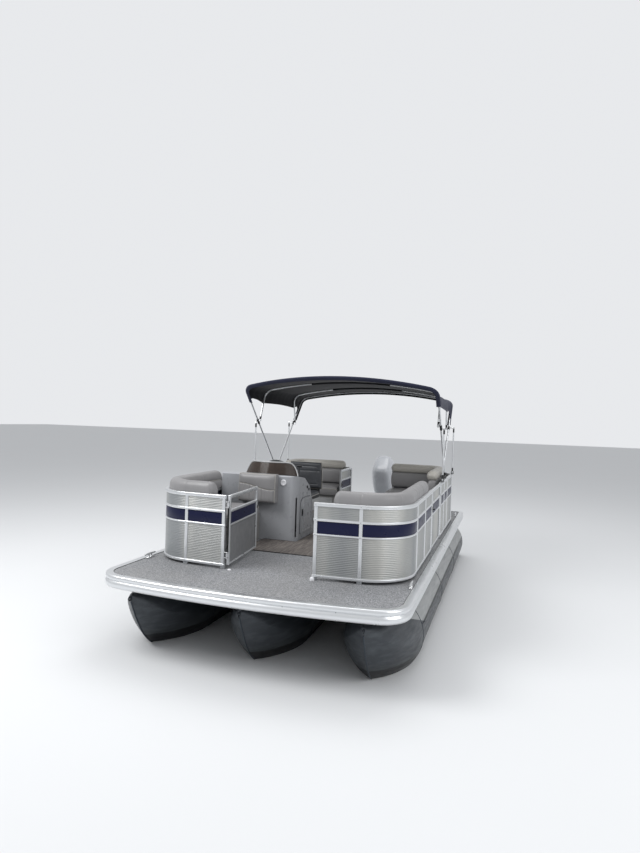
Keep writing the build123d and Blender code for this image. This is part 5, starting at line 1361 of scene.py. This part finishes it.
class BowLine:
    """Line of one bow from its crown, over the round corner and down a leg, in 3-D."""

    def __init__(self, bow, lift=0.0):
        self.body, self.foot, angle, reach, half, rise = bow[:6]
        self.plan = Plan(reach, rise, half, BOW_CORNER, 0.0, 0.01)
        self.lift = lift
        self.along = heading(angle)
        self.big, self.small = self.plan.radius + lift, BOW_CORNER + lift
        self.first = self.big * self.plan.turn
        self.arch = self.first + self.small * (pi / 2 - self.plan.turn)
        self.crown = self.at(0.0)[0]

    def at(self, s):
        """Points at distances s from the crown, to port where s is positive, with their outward normals."""
        s = np.asarray(s, float)
        reach, sign = np.abs(s), np.where(s < 0, -1.0, 1.0)
        on_arc = reach < self.first
        turn = np.where(on_arc, reach / self.big,
                        np.minimum(self.plan.turn + (reach - self.first) / self.small, pi / 2))
        radius = np.where(on_arc, self.big, self.small)
        v = np.where(on_arc, self.plan.centre, self.plan.corner_x) + radius * np.cos(turn)
        y = np.where(on_arc, 0.0, self.plan.corner_y) + radius * np.sin(turn)
        v = v - np.clip(reach - self.arch, 0, None)
        points = self.foot + v[..., None] * self.along + (y * sign)[..., None] * PORT
        normal = np.cos(turn)[..., None] * self.along + (np.sin(turn) * sign)[..., None] * PORT
        return points, normal


def canopy_grid():
    """Canvas as a grid: rows from the front hem to the rear hem, columns from starboard to port.

    Between two bows a point is (1 - f) P + f Q for the same share of both bows' lines, less
    sag * sin(pi f) along the normal, with a ridge of 1.2 mm over each bow. The edge hangs lower
    than the corners by rest * (1 - 0.18 sin(pi f)), and near a bow by
    (tail - rest) * (1 - x / width)^1.9 more at distance x from it, so that it falls into a narrow
    tail down each leg. Each end wraps its bow's tube by 90 degrees and hangs on as a hem."""
    lines = [BowLine(bow, bow[6]) for bow in BOWS]
    tails = [line.plan.corner_x - bow[7] for line, bow in zip(lines, BOWS)]
    arch_share = 0.8
    q = np.concatenate([np.linspace(0, 0.62, 40), np.linspace(0.62, arch_share, 16)[1:],
                        np.linspace(arch_share, 1, 18)[1:]])
    q = np.concatenate([-q[:0:-1], q])
    sign, q = np.where(q < 0, -1.0, 1.0), np.abs(q)
    on_arch = np.minimum(q / arch_share, 1)
    on_leg = np.clip((q - arch_share) / (1 - arch_share), 0, 1)

    def place(line, skirt):
        return line.at((line.arch * on_arch + skirt * on_leg) * sign)

    rest = 0.072
    rows = []
    for k in range(3):
        gap = dist(lines[k].crown, lines[k + 1].crown)
        for f in np.linspace(0, 1, 27)[:(None if k == 2 else -1)]:
            hang = rest * (1 - 0.18 * sin(pi * f))
            for near, x in ((k, f * gap), (k + 1, (1 - f) * gap)):
                hang += max(0.0, tails[near] - rest) * max(0.0, 1 - x / BOWS[near][8]) ** 1.9
            p, n = place(lines[k], hang)
            p2, n2 = place(lines[k + 1], hang)
            normal = unit(n * (1 - f) + n2 * f)
            near = min(f * gap, (1 - f) * gap)
            dip = sizes().canvas_sag * sin(pi * f) - 0.0012 * exp(-(near / 0.016) ** 2)
            rows.append(p * (1 - f) + p2 * f - normal * dip)
    wraps = []
    for end, turn in ((0, -90.0), (-1, 90.0)):
        bare = BowLine(BOWS[end])
        axis, normal = bare.at((bare.arch * on_arch + tails[end] * on_leg) * sign)
        away = heading(BOWS[end][2] + turn)
        fans = [axis + lines[end].lift * (cos(angle) * normal + sin(angle) * away)
                for angle in np.radians(np.linspace(14, 90, 7))]
        wraps.append(fans + [fans[6] - drop * normal for drop in (0.012, 0.026, 0.029)])
    grid = np.array(wraps[0][::-1] + rows + wraps[1])
    return grid, q


class BOAT_OT_canopy(bpy.types.Operator):
    """Bimini: one stretched canvas over four bows with hems, seams and tails, sleeves and black fittings"""
    bl_idname = "boat.canopy"
    bl_label = "Bimini top"

    def execute(self, context):
        grid, q = canopy_grid()
        du, dv = np.gradient(grid, axis=0), np.gradient(grid, axis=1)
        normal = unit(np.cross(du, dv))
        if normal[len(normal) // 2, normal.shape[1] // 2, 2] < 0:
            normal = -normal
        y = grid[..., 1]
        # Hem along the edge, and seams between the widths of cloth
        raise_by = 0.001 * np.clip((q - 0.955) / 0.012, 0, 1)[None]
        for line in (-0.385, 0.385):
            raise_by = raise_by + 0.0009 * np.exp(-((y - line) / 0.007) ** 4)
            raise_by = raise_by - 0.0007 * np.exp(-((y - line - 0.0045) / 0.0012) ** 2)
        x = grid[..., 0]
        tension = 0.0016 * np.sin(x * 46 + 3 * np.sin(y * 3)) * np.clip((q[None] - 0.45) / 0.35, 0, 1)
        ripple = 0.0012 * np.sin(y * 21 + 1.5 * np.sin(x * 5)) * np.sin(x * 3.1)
        inner = np.ones(len(grid))
        inner[:11] = inner[-11:] = 0
        top = grid + normal * (raise_by + (tension + ripple) * inner[:, None])[..., None]
        sheet = solid("bimini_top", [sheet_shell(top, top - normal * 0.0018)], "canvas_navy", None, 60,
                      ("bimini_canvas",))
        sheet.data.materials.append(Finish.made["canvas_inside"])
        quads = (top.shape[0] - 1) * (top.shape[1] - 1)
        for face in sheet.data.polygons[quads:2 * quads]:
            face.material_index = 1
        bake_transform(sheet)
        self.fittings()
        return {"FINISHED"}

    def fittings(self):
        """Sleeves under the second bows, black collars and eye ends, and bolts at every pin."""
        for bow in BOWS[1:3]:
            line = BowLine(bow)
            reach = line.arch * 0.42
            sleeve = tube(line.at(np.linspace(-reach, reach, 90))[0], 0.0121, 12)
            solid(bow[0] + "_sleeve", [sleeve], "canvas_inside", bow[0], 80)
            feet = [bow[1] + PORT * bow[4] * side for side in (1, -1)]
            ends = [collar(0.0113, 0.0124, 0.015, 0.0535, 0.0015, foot, heading(bow[2]), 20) for foot in feet]
            solid(bow[0] + "_ends", ends, "black_plastic", bow[0])
        for bow, low, high in ((BOWS[0], *FRONT_STOPS), (BOWS[3], *REAR_STOPS[::-1])):
            parts = []
            half, along = (high - low) / 2 + 0.02, heading(bow[2])
            for side in (1, -1):
                leg = PIVOT + PORT * bow[4] * side
                middle = leg + along * (low + high) / 2
                parts.append(collar(0.0125, 0.015, -half, half, 0.003, middle, along, 20))
                parts.append(collar(0.0113, 0.0122, 0.0165, 0.0715, 0.0015, leg, along, 20))
            solid(bow[0] + "_collars", parts, "black_plastic", bow[0])
        for body, reach, angle in (("bimini_front_struts", FRONT_STOPS[0], FRONT_ANGLE),
                                   ("bimini_rear_struts", REAR_STOPS[0], REAR_ANGLE)):
            top = PIVOT + heading(angle) * reach
            length = top[2] - PIVOT[2]
            parts, pins = [], []
            for side in (1, -1):
                for low in (0.0145, length - 0.062):
                    foot = (top[0], STRUT_Y * side, PIVOT[2])
                    parts.append(collar(0.0093, 0.0106, low, low + 0.0475, 0.0015, foot, UP, 18))
                head = (top[0], (STRUT_Y + 0.0093) * side, top[2])
                pins.append(lathe([(0.0075, 0.0002), (0.0078, 0.003), (0.005, 0.0046)], head, PORT * side, 6))
            solid(body + "_ends", parts, "black_plastic", body)
            solid(body + "_pins", pins, "bright_steel", body)
        screws = [dome([PIVOT[0] + x, y, 0.6458], UP, 0.0034, 0.0016)
                  for x in (-0.028, 0.028) for y in (1.118, -1.118, 1.16, -1.16)]
        solid("bimini_mount_screws", screws, "mill_metal", angle=60)


# Motor, drawn upright and turned up about its tilt tube
TILT = np.array([-5.39, 0.0, 0.0])
TILT_STORED = radians(35)
STEER = np.array([-5.505, 0.0, 0.0])
GEAR_Z = -0.88
HUB_FRONT = STEER[0] - 0.252
PROPELLER_PITCH = 0.38
# Cowling by height: height, middle behind the kingpin, half length, half width, squareness
COWLING = (
    (0.064, 0.19, 0.234, 0.144, 4.2), (0.11, 0.191, 0.243, 0.153, 4.0), (0.2, 0.193, 0.253, 0.163, 3.8),
    (0.3, 0.195, 0.258, 0.168, 3.6), (0.4, 0.193, 0.255, 0.1665, 3.4), (0.5, 0.186, 0.24, 0.157, 3.2),
    (0.56, 0.181, 0.22, 0.142, 3.0), (0.595, 0.177, 0.193, 0.12, 2.8), (0.613, 0.175, 0.15, 0.088, 2.6),
    (0.619, 0.175, 0.09, 0.048, 2.4), (0.6195, 0.175, 0.02, 0.01, 2.2),
)


def motor_piece(name, parts, paint, angle=38.0, nodes=(), body="motor"):
    """A piece of the upright motor, turned up about the tilt tube."""
    c, s = cos(TILT_STORED), sin(TILT_STORED)
    turned = np.array([[c, 0, s], [0, 1, 0], [-s, 0, c]]).T
    parts = [(TILT + (points - TILT) @ turned, faces) for points, faces in parts]
    solid(name, parts, paint, body, angle, nodes)


def spline(table, count):
    """Rows of a table joined by a Catmull-Rom curve."""
    table = np.asarray(table, float)
    padded = np.concatenate([[2 * table[0] - table[1]], table, [2 * table[-1] - table[-2]]])
    out = []
    for t in np.linspace(0, len(table) - 1, count):
        k = min(int(t), len(table) - 2)
        f = t - k
        a, b, c, d = padded[k:k + 4]
        square, cube = 2 * a - 5 * b + 4 * c - d, 3 * b - a - 3 * c + d
        out.append(0.5 * (2 * b + (c - a) * f + square * f ** 2 + cube * f ** 3))
    return np.array(out)


def oval(row, turn, grow=0.0):
    """Superellipse |x / length|^p + |y / width|^p = 1 of one row, at the angles of turn.

    A row is z, middle behind the kingpin, half length, half width and squareness p."""
    z, back, length, width, power = row
    x, y = (np.sign(v) * np.abs(v) ** (2 / power) for v in (np.cos(turn), np.sin(turn)))
    return np.stack([STEER[0] - back + (length + grow) * x, (width + grow) * y, np.full(len(turn), z)], 1)


def stack(rows, steps=64):
    """Skin over superellipses at heights."""
    return shell(np.array([oval(row, np.linspace(0, TAU, steps, endpoint=False)) for row in rows]))


class BOAT_OT_motor(bpy.types.Operator):
    """Outboard: cowling with intake and latch, leg, gear housing, skeg and pitched propeller"""
    bl_idname = "boat.motor"
    bl_label = "Outboard motor"

    def execute(self, context):
        self.cowling()
        self.leg()
        self.propeller()
        return {"FINISHED"}

    def cowling(self):
        """Housing, trim belt and latch, and the intake, whose slats are a rectified sine of height."""
        motor_piece("motor_cowling", [stack(spline(COWLING, 70), 96)], "motor_paint", 50, ("outboard_cowling",))
        belt = [(z, 0.19, 0.2345 + w, 0.1445 + w, 4.2) for z, w in
                ((0.0632, 0.001), (0.066, 0.0035), (0.096, 0.0052), (0.1, 0.0045), (0.101, 0.0))]
        motor_piece("motor_belt", [stack(belt, 96)], "motor_trim")
        turn = pi + np.linspace(-0.62, 0.62, 41)
        low, high, slat = 0.44, 0.545, 0.0175
        rows = [row for row in spline(COWLING, 240) if low < row[0] < high]
        outer = [oval(row, turn, 0.0012 + 0.003 * abs(sin(pi * (row[0] - low) / slat))) for row in rows]
        inner = [oval(row, turn, -0.004) for row in rows]
        x, z = STEER[0] + 0.0445, 0.083
        intake = [sheet_shell(np.array(outer), np.array(inner)),
                  bar([x, -0.035, z], [x, 0.035, z], UP, 0.02, 0.012, 0.005)]
        motor_piece("motor_intake", intake, "black_plastic")

    def leg(self):
        """Tray, leg, plate over the propeller, stem and skeg as ovals by height, the turned gear
        housing, shaft and kingpin, the brackets, the water intakes and the nuts of the clamp."""
        x = STEER[0]
        tray = [(0.0402, 0.19, 0.225, 0.13, 4.0), (0.042, 0.19, 0.236, 0.141, 4.2),
                (0.059, 0.19, 0.239, 0.144, 4.2), (0.0618, 0.19, 0.235, 0.14, 4.2)]
        middle = [(0.04, 0.15, 0.118, 0.078, 3.2), (0.01, 0.145, 0.098, 0.07, 3.0),
                  (-0.05, 0.14, 0.082, 0.062, 2.8), (-0.3, 0.138, 0.077, 0.056, 2.6),
                  (-0.5, 0.138, 0.077, 0.046, 2.4), (-0.64, 0.142, 0.08, 0.04, 2.3),
                  (-0.689, 0.16, 0.104, 0.052, 2.3)]
        plate = [(z, 0.19, 0.16 - w, 0.092 - w, 2.6)
                 for z, w in ((-0.69, 0.003), (-0.6915, 0.0), (-0.6985, 0.0), (-0.7, 0.003))]
        stem = [(-0.699, 0.138, 0.078, 0.027, 2.0), (-0.74, 0.134, 0.073, 0.024, 2.0),
                (-0.82, 0.132, 0.072, 0.023, 2.0), (-0.87, 0.134, 0.078, 0.026, 2.0)]
        skeg = [(GEAR_Z - 0.01, 0.144, 0.083, 0.007, 2.0), (-0.96, 0.17, 0.06, 0.005, 2.0),
                (-1.03, 0.192, 0.043, 0.0032, 2.0), (-1.058, 0.202, 0.03, 0.0016, 2.0)]
        gears = [(0.0015, 0.0255), (0.017, 0.0205), (0.031, 0.008), (0.0405, -0.01), (0.045, -0.035),
                 (0.046, -0.07), (0.046, -0.17), (0.0445, -0.215), (0.0395, -0.244), (0.03, -0.245)]
        shaft = STEER + UP * GEAR_Z
        parts = [stack(rows) for rows in (tray, spline(middle, 36), plate, spline(stem, 14), spline(skeg, 18))]
        parts += [lathe(gears, shaft, FORE, 40),
                  lathe([(0.012, -0.24), (0.012, -0.33), (0.01, -0.332)], shaft, FORE, 20),
                  lathe([(0.0198, -0.385), (0.0198, 0.06)], STEER, UP, 28),
                  bar([x + 0.034, 0, -0.3695], [x - 0.12, 0, -0.3695], PORT, 0.094, 0.036, 0.01),
                  bar([x + 0.045, 0, 0.029], [x - 0.21, 0, 0.029], PORT, 0.098, 0.0215, 0.008)]
        motor_piece("motor_leg", parts, "motor_dark", 42, ("outboard_leg",))
        slots, nuts = [], []
        for y in (0.0225, -0.0225):
            for z in -0.77 - 0.013 * np.arange(4):
                slots.append(bar([x - 0.108, y, z], [x - 0.148, y, z], PORT, 0.0035, 0.005, 0.0015))
        slots.append(bar([x - 0.262, 0, -0.7035], [x - 0.318, 0, -0.7035], PORT, 0.03, 0.008, 0.003))
        motor_piece("motor_intakes", slots, "rubber_black")
        tilt_nut = [(0.015, 0.0002), (0.0155, 0.007), (0.012, 0.009)]
        bolt_nut = [(0.009, 0.0002), (0.0092, 0.005), (0.007, 0.0062)]
        for out in (PORT, -PORT):
            side = TILT + out * 0.111
            nuts.append(lathe(tilt_nut, side, out, 6))
            nuts += [lathe(bolt_nut, side + [0.052, 0, z], out, 6) for z in (-0.085, -0.205)]
        solid("clamp_nuts", nuts, "bright_steel")

    def propeller(self):
        """Hub and three blades: at radius r the chord turns by atan(pitch / 2 pi r) and wraps round the hub."""
        axle = np.array([HUB_FRONT, 0, GEAR_Z])
        hub = [(0.03, -0.0002), (0.036, -0.002), (0.038, -0.012), (0.0378, -0.07), (0.0362, -0.092),
               (0.0345, -0.095), (0.032, -0.09), (0.03, -0.06)]
        nut = [(0.017, -0.06), (0.017, -0.082), (0.013, -0.0835), (0.013, -0.09), (0.006, -0.091)]
        parts = [lathe(hub, axle, FORE, 40), lathe(nut, axle, FORE)]
        turn = np.linspace(0, TAU, 28, endpoint=False)
        for blade in (0, TAU / 3, 2 * TAU / 3):
            grid = []
            for share in np.linspace(0, 1, 26):
                r = 0.03 + 0.126 * share
                tip = (1 - share ** 9) ** 0.5
                chord = 0.5 * (0.06 + 0.052 * sin(pi * (share * 0.86 + 0.08)) ** 0.8) * tip + 0.001
                thick = 0.0055 * (1 - share) + 0.0014
                pitch = atan2(PROPELLER_PITCH, TAU * r)
                c, t = chord * np.cos(turn), thick * np.sin(turn)
                ahead = c * sin(pitch) + t * cos(pitch) - 0.048 - 0.01 * share
                angle = (c * cos(pitch) - t * sin(pitch)) / r + blade
                grid.append(np.stack([ahead, r * np.sin(angle), r * np.cos(angle)], 1) + axle)
            parts.append(shell(np.array(grid)))
        motor_piece("motor_propeller", parts, "motor_dark", 50, ("propeller",), "propeller")


LADDER_HINGE = -5.205


class BOAT_OT_deck_gear(bpy.types.Operator):
    """Cleats, gate stops, mat binding, ladder pads and the panels of the lounge bases"""
    bl_idname = "boat.deck_gear"
    bl_label = "Deck gear"

    def execute(self, context):
        cleats = []
        t = np.linspace(-1, 1, 25)
        horn = np.stack([0.0845 * t, 0 * t, 0.0365 + 0.0015 * np.cos(t * 2.2)], 1)
        flare = [(0.0125, 0.0068), (0.009, 0.01), (0.0072, 0.018), (0.0078, 0.03), (0.009, 0.036)]
        for spot in ([x, y, 0.0] for x in (-0.76, -4.7) for y in (1.212, -1.212)):
            spot = np.array(spot)
            cleats += [tube(spot + horn, 0.0045 + 0.0042 * np.sqrt(1 - np.abs(t) ** 3 * 0.995)),
                       bar(spot + [-0.045, 0, 0.0036], spot + [0.045, 0, 0.0036], PORT, 0.028, 0.007, 0.003)]
            cleats += [lathe(flare, spot + [leg, 0, 0], UP, 18) for leg in (-0.019, 0.019)]
        solid("deck_cleats", cleats, "bright_steel", angle=50, nodes=("cleats",))
        tall = [(0.019, 0.0002), (0.02, 0.006), (0.0185, 0.022), (0.013, 0.029), (0.004, 0.031)]
        flat_stop = [(0.015, 0.0002), (0.016, 0.004), (0.012, 0.0095), (0.003, 0.011)]
        post = float(FENCE.front_x(POSTS["port_bow"][0][0]))
        solid("gate_stops", [lathe(tall, [post + 0.022, 0.415, 0], UP, 20),
                             lathe(flat_stop, [-0.65, -0.345, 0], UP, 20)], "white_nylon", angle=60)
        edge = [(-1.43, -0.6), (-1.43, 0.545), (-3.64, 0.545), (-3.64, 0.325), (-4.325, 0.325),
                (-4.325, -0.222), (-1.99, -0.222), (-1.99, -0.6)]
        line = bend([(x, y, 0.0045) for x, y in edge + edge[:2]], 0.012)[1:-1]
        solid("mat_binding", [cord(line, 0.0036, 0.02, 6)], "rubber_black", angle=80)
        pads = [bar([LADDER_HINGE + x, 0.716, 0.0405], [LADDER_HINGE + x, 0.964, 0.0405], FORE, 0.036,
                    0.003, 0.001) for x in (0.18, 0.38, 0.58)]
        start, end = LADDER_HINGE + 0.04, LADDER_HINGE + 0.165
        grips = [tube([[start, y, 0.03], [end, y, 0.03]], 0.0124) for y in (0.7, 0.98)]
        solid("ladder_pads", pads + grips, "rubber_black", "ladder")
        self.bases()
        return {"FINISHED"}

    def bases(self):
        """Raised panels with round corners on the lounge bases, each with a flush latch."""
        # Face of each base: start and end in plan, outward direction, number of panels
        faces = (
            ((-0.76, -0.66), (-1.84, -0.66), (0, 1), 2), ((-0.76, 0.6), (-2.01, 0.6), (0, -1), 2),
            ((-3.87, -0.37), (-3.87, -1.06), (1, 0), 1), ((-3.345, 0.69), (-3.84, 0.69), (0, -1), 1),
            ((-3.87, 0.4), (-3.87, 0.67), (1, 0), 1),
        )
        # Panel's outline: share of its length, height about its middle
        outline = soften([(0, -0.088), (0.012, -0.096), (0.5, -0.096), (0.988, -0.096), (1, -0.088), (1, 0.088),
                          (0.988, 0.096), (0.5, 0.096), (0.012, 0.096), (0, 0.088)])
        latch = [(0.015, 0.0012), (0.016, 0.004), (0.012, 0.0058), (0.011, 0.004)]
        panels, latches = [], []
        for start, end, out, count in faces:
            start, end, out = flat(start, 0.15), flat(end, 0.15), flat(out, 0)
            run = unit(end - start)
            length = dist(start, end) / count
            for k in range(count):
                a = start + run * (length * k + 0.02) + out * 0.0026
                b = start + run * (length * (k + 1) - 0.02) + out * 0.0026
                loop = a + (b - a) * outline[:, :1] + UP * outline[:, 1:]
                middle = loop.mean(0)
                panels.append(shell(np.array([middle + (loop - middle) * size + out * lift for size, lift in (
                    (1, -0.0022), (1, 0.0018), (0.985, 0.003), (0.93, 0.003), (0.915, 0.0012))])))
                latches.append(lathe(latch, (a + b) / 2 + UP * 0.07, out, 20))
        solid("base_panels", panels, "gelcoat_rim")
        solid("base_latches", latches, "black_plastic")


# Leading edge of a tube's nose: distance behind the tip, height, as its sections run
NOSE_EDGE = (
    (0.0, -0.2118), (0.0901, -0.3902), (0.21, -0.5597), (0.38, -0.6899), (0.5899, -0.7553), (0.85, -0.775),
)
TUBE_AXIS_Z = -0.4575
TUBE_RADIUS = 0.3175


class BOAT_OT_hull_detail(bpy.types.Operator):
    """Weld beads, stem and keel bars on the three tubes, end caps with drain plugs on the outer two"""
    bl_idname = "boat.hull_detail"
    bl_label = "Hull detail"

    def execute(self, context):
        beads, caps, plugs = [], [], []
        turn = np.linspace(radians(112), radians(428), 90)
        ripple = TUBE_RADIUS + 0.0006 + 0.0004 * np.sin(turn * 160)
        dish = [(0.3165, -0.0002), (0.314, 0.003), (0.302, 0.0042), (0.285, 0.002), (0.2, 0.006),
                (0.02, 0.0085)]
        plug = [(0.018, 0.0035), (0.0185, 0.0075), (0.012, 0.009)]
        for y, aft in ((0.975, -5.15), (0.0, -4.59), (-0.975, -5.15)):
            across, rise = y + ripple * np.cos(turn), TUBE_AXIS_Z + ripple * np.sin(turn)
            for x in (-1.0, -2.38, -3.76):
                beads.append(tube(np.column_stack([np.full(90, x), across, rise]), 0.003, 6))
            edge = spline(NOSE_EDGE, 60)
            stem = np.stack([-0.15 - edge[:, 0], np.full(60, y), edge[:, 1]], 1)
            keel = np.array([[-1.1, y, -0.7755], [aft + 0.05, y, -0.7755]])
            beads.append(tube(np.concatenate([stem, keel]), 0.0058, 8))
            if y:
                caps.append(lathe(dish, [aft, y, TUBE_AXIS_Z], -FORE, 72))
                plugs.append(lathe(plug, [aft, y, TUBE_AXIS_Z - 0.24], -FORE, 6))
        solid("tube_welds", beads, "tube_bead", angle=80)
        solid("tube_end_caps", caps, "mill_metal")
        solid("tube_plugs", plugs, "bright_steel")
        return {"FINISHED"}


WATERLINE = 0.125
# Camera of the photograph, in the layout's metres: place, forward direction, roll and focal length
CAMERA_PLACE = (3.9656, 1.9306, 1.3328)
CAMERA_FORWARD = (-0.95143, -0.3076, -0.01312)
CAMERA_ROLL = 0.0318
FOCAL_PIXELS = 591.0
PHOTO_HEIGHT = 853


class BOAT_OT_stage(bpy.types.Operator):
    """Pale floor at the waterline, soft studio lamps and the photograph's camera"""
    bl_idname = "boat.stage"
    bl_label = "Stage"

    def execute(self, context):
        size = 60.0
        mesh = bpy.data.meshes.new("floor")
        mesh.from_pydata([(-size, -size, WATERLINE), (size, -size, WATERLINE), (size, size, WATERLINE),
                          (-size, size, WATERLINE)], [], [(0, 1, 2, 3)])
        floor = bpy.data.objects.new("floor", mesh)
        context.scene.collection.objects.link(floor)
        ground = Finish("floor_paint", (0.7, 0.71, 0.72), 0.85)
        ground.vary(ground.noise(0.6, 2), 0.2, 0.96)
        mesh.materials.append(ground.material)

        world = bpy.data.worlds.new("studio")
        world.use_nodes = True
        tree = world.node_tree
        back = tree.nodes["Background"]
        ray = add_node(tree, "ShaderNodeLightPath", {}).outputs
        seen = add_node(tree, "ShaderNodeMath", {0: ray["Is Camera Ray"], 1: ray["Is Transmission Ray"]},
                        operation="MAXIMUM").outputs[0]
        strength = add_node(tree, "ShaderNodeMapRange", {"Value": seen, "To Min": 0.66, "To Max": 0.84})
        tree.links.new(strength.outputs[0], back.inputs["Strength"])
        back.inputs["Color"].default_value = (0.96, 0.975, 1.0, 1.0)
        context.scene.world = world

        for name, place, aim, power, width in (
            ("key", (5.0, -4.5, 7.0), (-0.4, 0.0, 0.9), 430.0, 4.0),
            ("fill", (4.5, 6.5, 4.5), (-0.2, 0.3, 0.9), 180.0, 5.0),
            ("top", (-1.5, 0.5, 8.5), (-0.8, 0.0, 0.8), 230.0, 6.0),
        ):
            light = bpy.data.lights.new(name, "AREA")
            light.energy = power
            light.size = width
            lamp = bpy.data.objects.new(name, light)
            lamp.location = place
            lamp.rotation_euler = (Vector(aim) - Vector(place)).to_track_quat("-Z", "Y").to_euler()
            context.scene.collection.objects.link(lamp)

        forward = Vector(CAMERA_FORWARD).normalized()
        level = forward.cross(Vector((0, 0, 1))).normalized()
        upright = level.cross(forward)
        right = level * cos(CAMERA_ROLL) + upright * sin(CAMERA_ROLL)
        above = upright * cos(CAMERA_ROLL) - level * sin(CAMERA_ROLL)
        data = bpy.data.cameras.new("camera")
        data.sensor_width = 36.0
        data.lens = FOCAL_PIXELS / PHOTO_HEIGHT * data.sensor_width
        data.clip_end = 300.0
        camera = bpy.data.objects.new("camera", data)
        place = Vector(CAMERA_PLACE) + Vector(HERE)
        camera.matrix_world = Matrix((
            (right.x, above.x, -forward.x, place.x), (right.y, above.y, -forward.y, place.y),
            (right.z, above.z, -forward.z, place.z), (0, 0, 0, 1)))
        context.scene.collection.objects.link(camera)
        context.scene.camera = camera
        context.scene.view_settings.view_transform = "Standard"
        return {"FINISHED"}


OPERATORS = (
    BOAT_OT_rub_rail, BOAT_OT_fence, BOAT_OT_gates, BOAT_OT_seats, BOAT_OT_backs, BOAT_OT_console, BOAT_OT_helm,
    BOAT_OT_canopy, BOAT_OT_motor, BOAT_OT_deck_gear, BOAT_OT_hull_detail, BOAT_OT_stage,
)


class BOAT_PT_panel(bpy.types.Panel):
    """Buttons for every group of pieces, under the sizes and colours that they use"""
    bl_idname = "BOAT_PT_panel"
    bl_label = "Pontoon boat"
    bl_space_type = "VIEW_3D"
    bl_region_type = "UI"
    bl_category = "Boat"

    def draw(self, context):
        for group in (context.scene.boat_sizes, context.scene.boat_colours):
            for key in group.bl_rna.properties.keys():
                if key not in ("rna_type", "name"):
                    self.layout.prop(group, key)
        for operator in OPERATORS:
            self.layout.operator(operator.bl_idname)


CLASSES = (BoatColours, BoatSizes, *OPERATORS, BOAT_PT_panel)


def register():
    for cls in CLASSES:
        bpy.utils.register_class(cls)
    bpy.types.Scene.boat_colours = PointerProperty(type=BoatColours)
    bpy.types.Scene.boat_sizes = PointerProperty(type=BoatSizes)


def unregister():
    del bpy.types.Scene.boat_sizes
    del bpy.types.Scene.boat_colours
    for cls in reversed(CLASSES):
        bpy.utils.unregister_class(cls)


def main():
    register()
    build_finishes()
    dress_nodes()
    for operator in OPERATORS:
        group, name = operator.bl_idname.split(".")
        getattr(getattr(bpy.ops, group), name)()


if __name__ == "__main__":
    main()
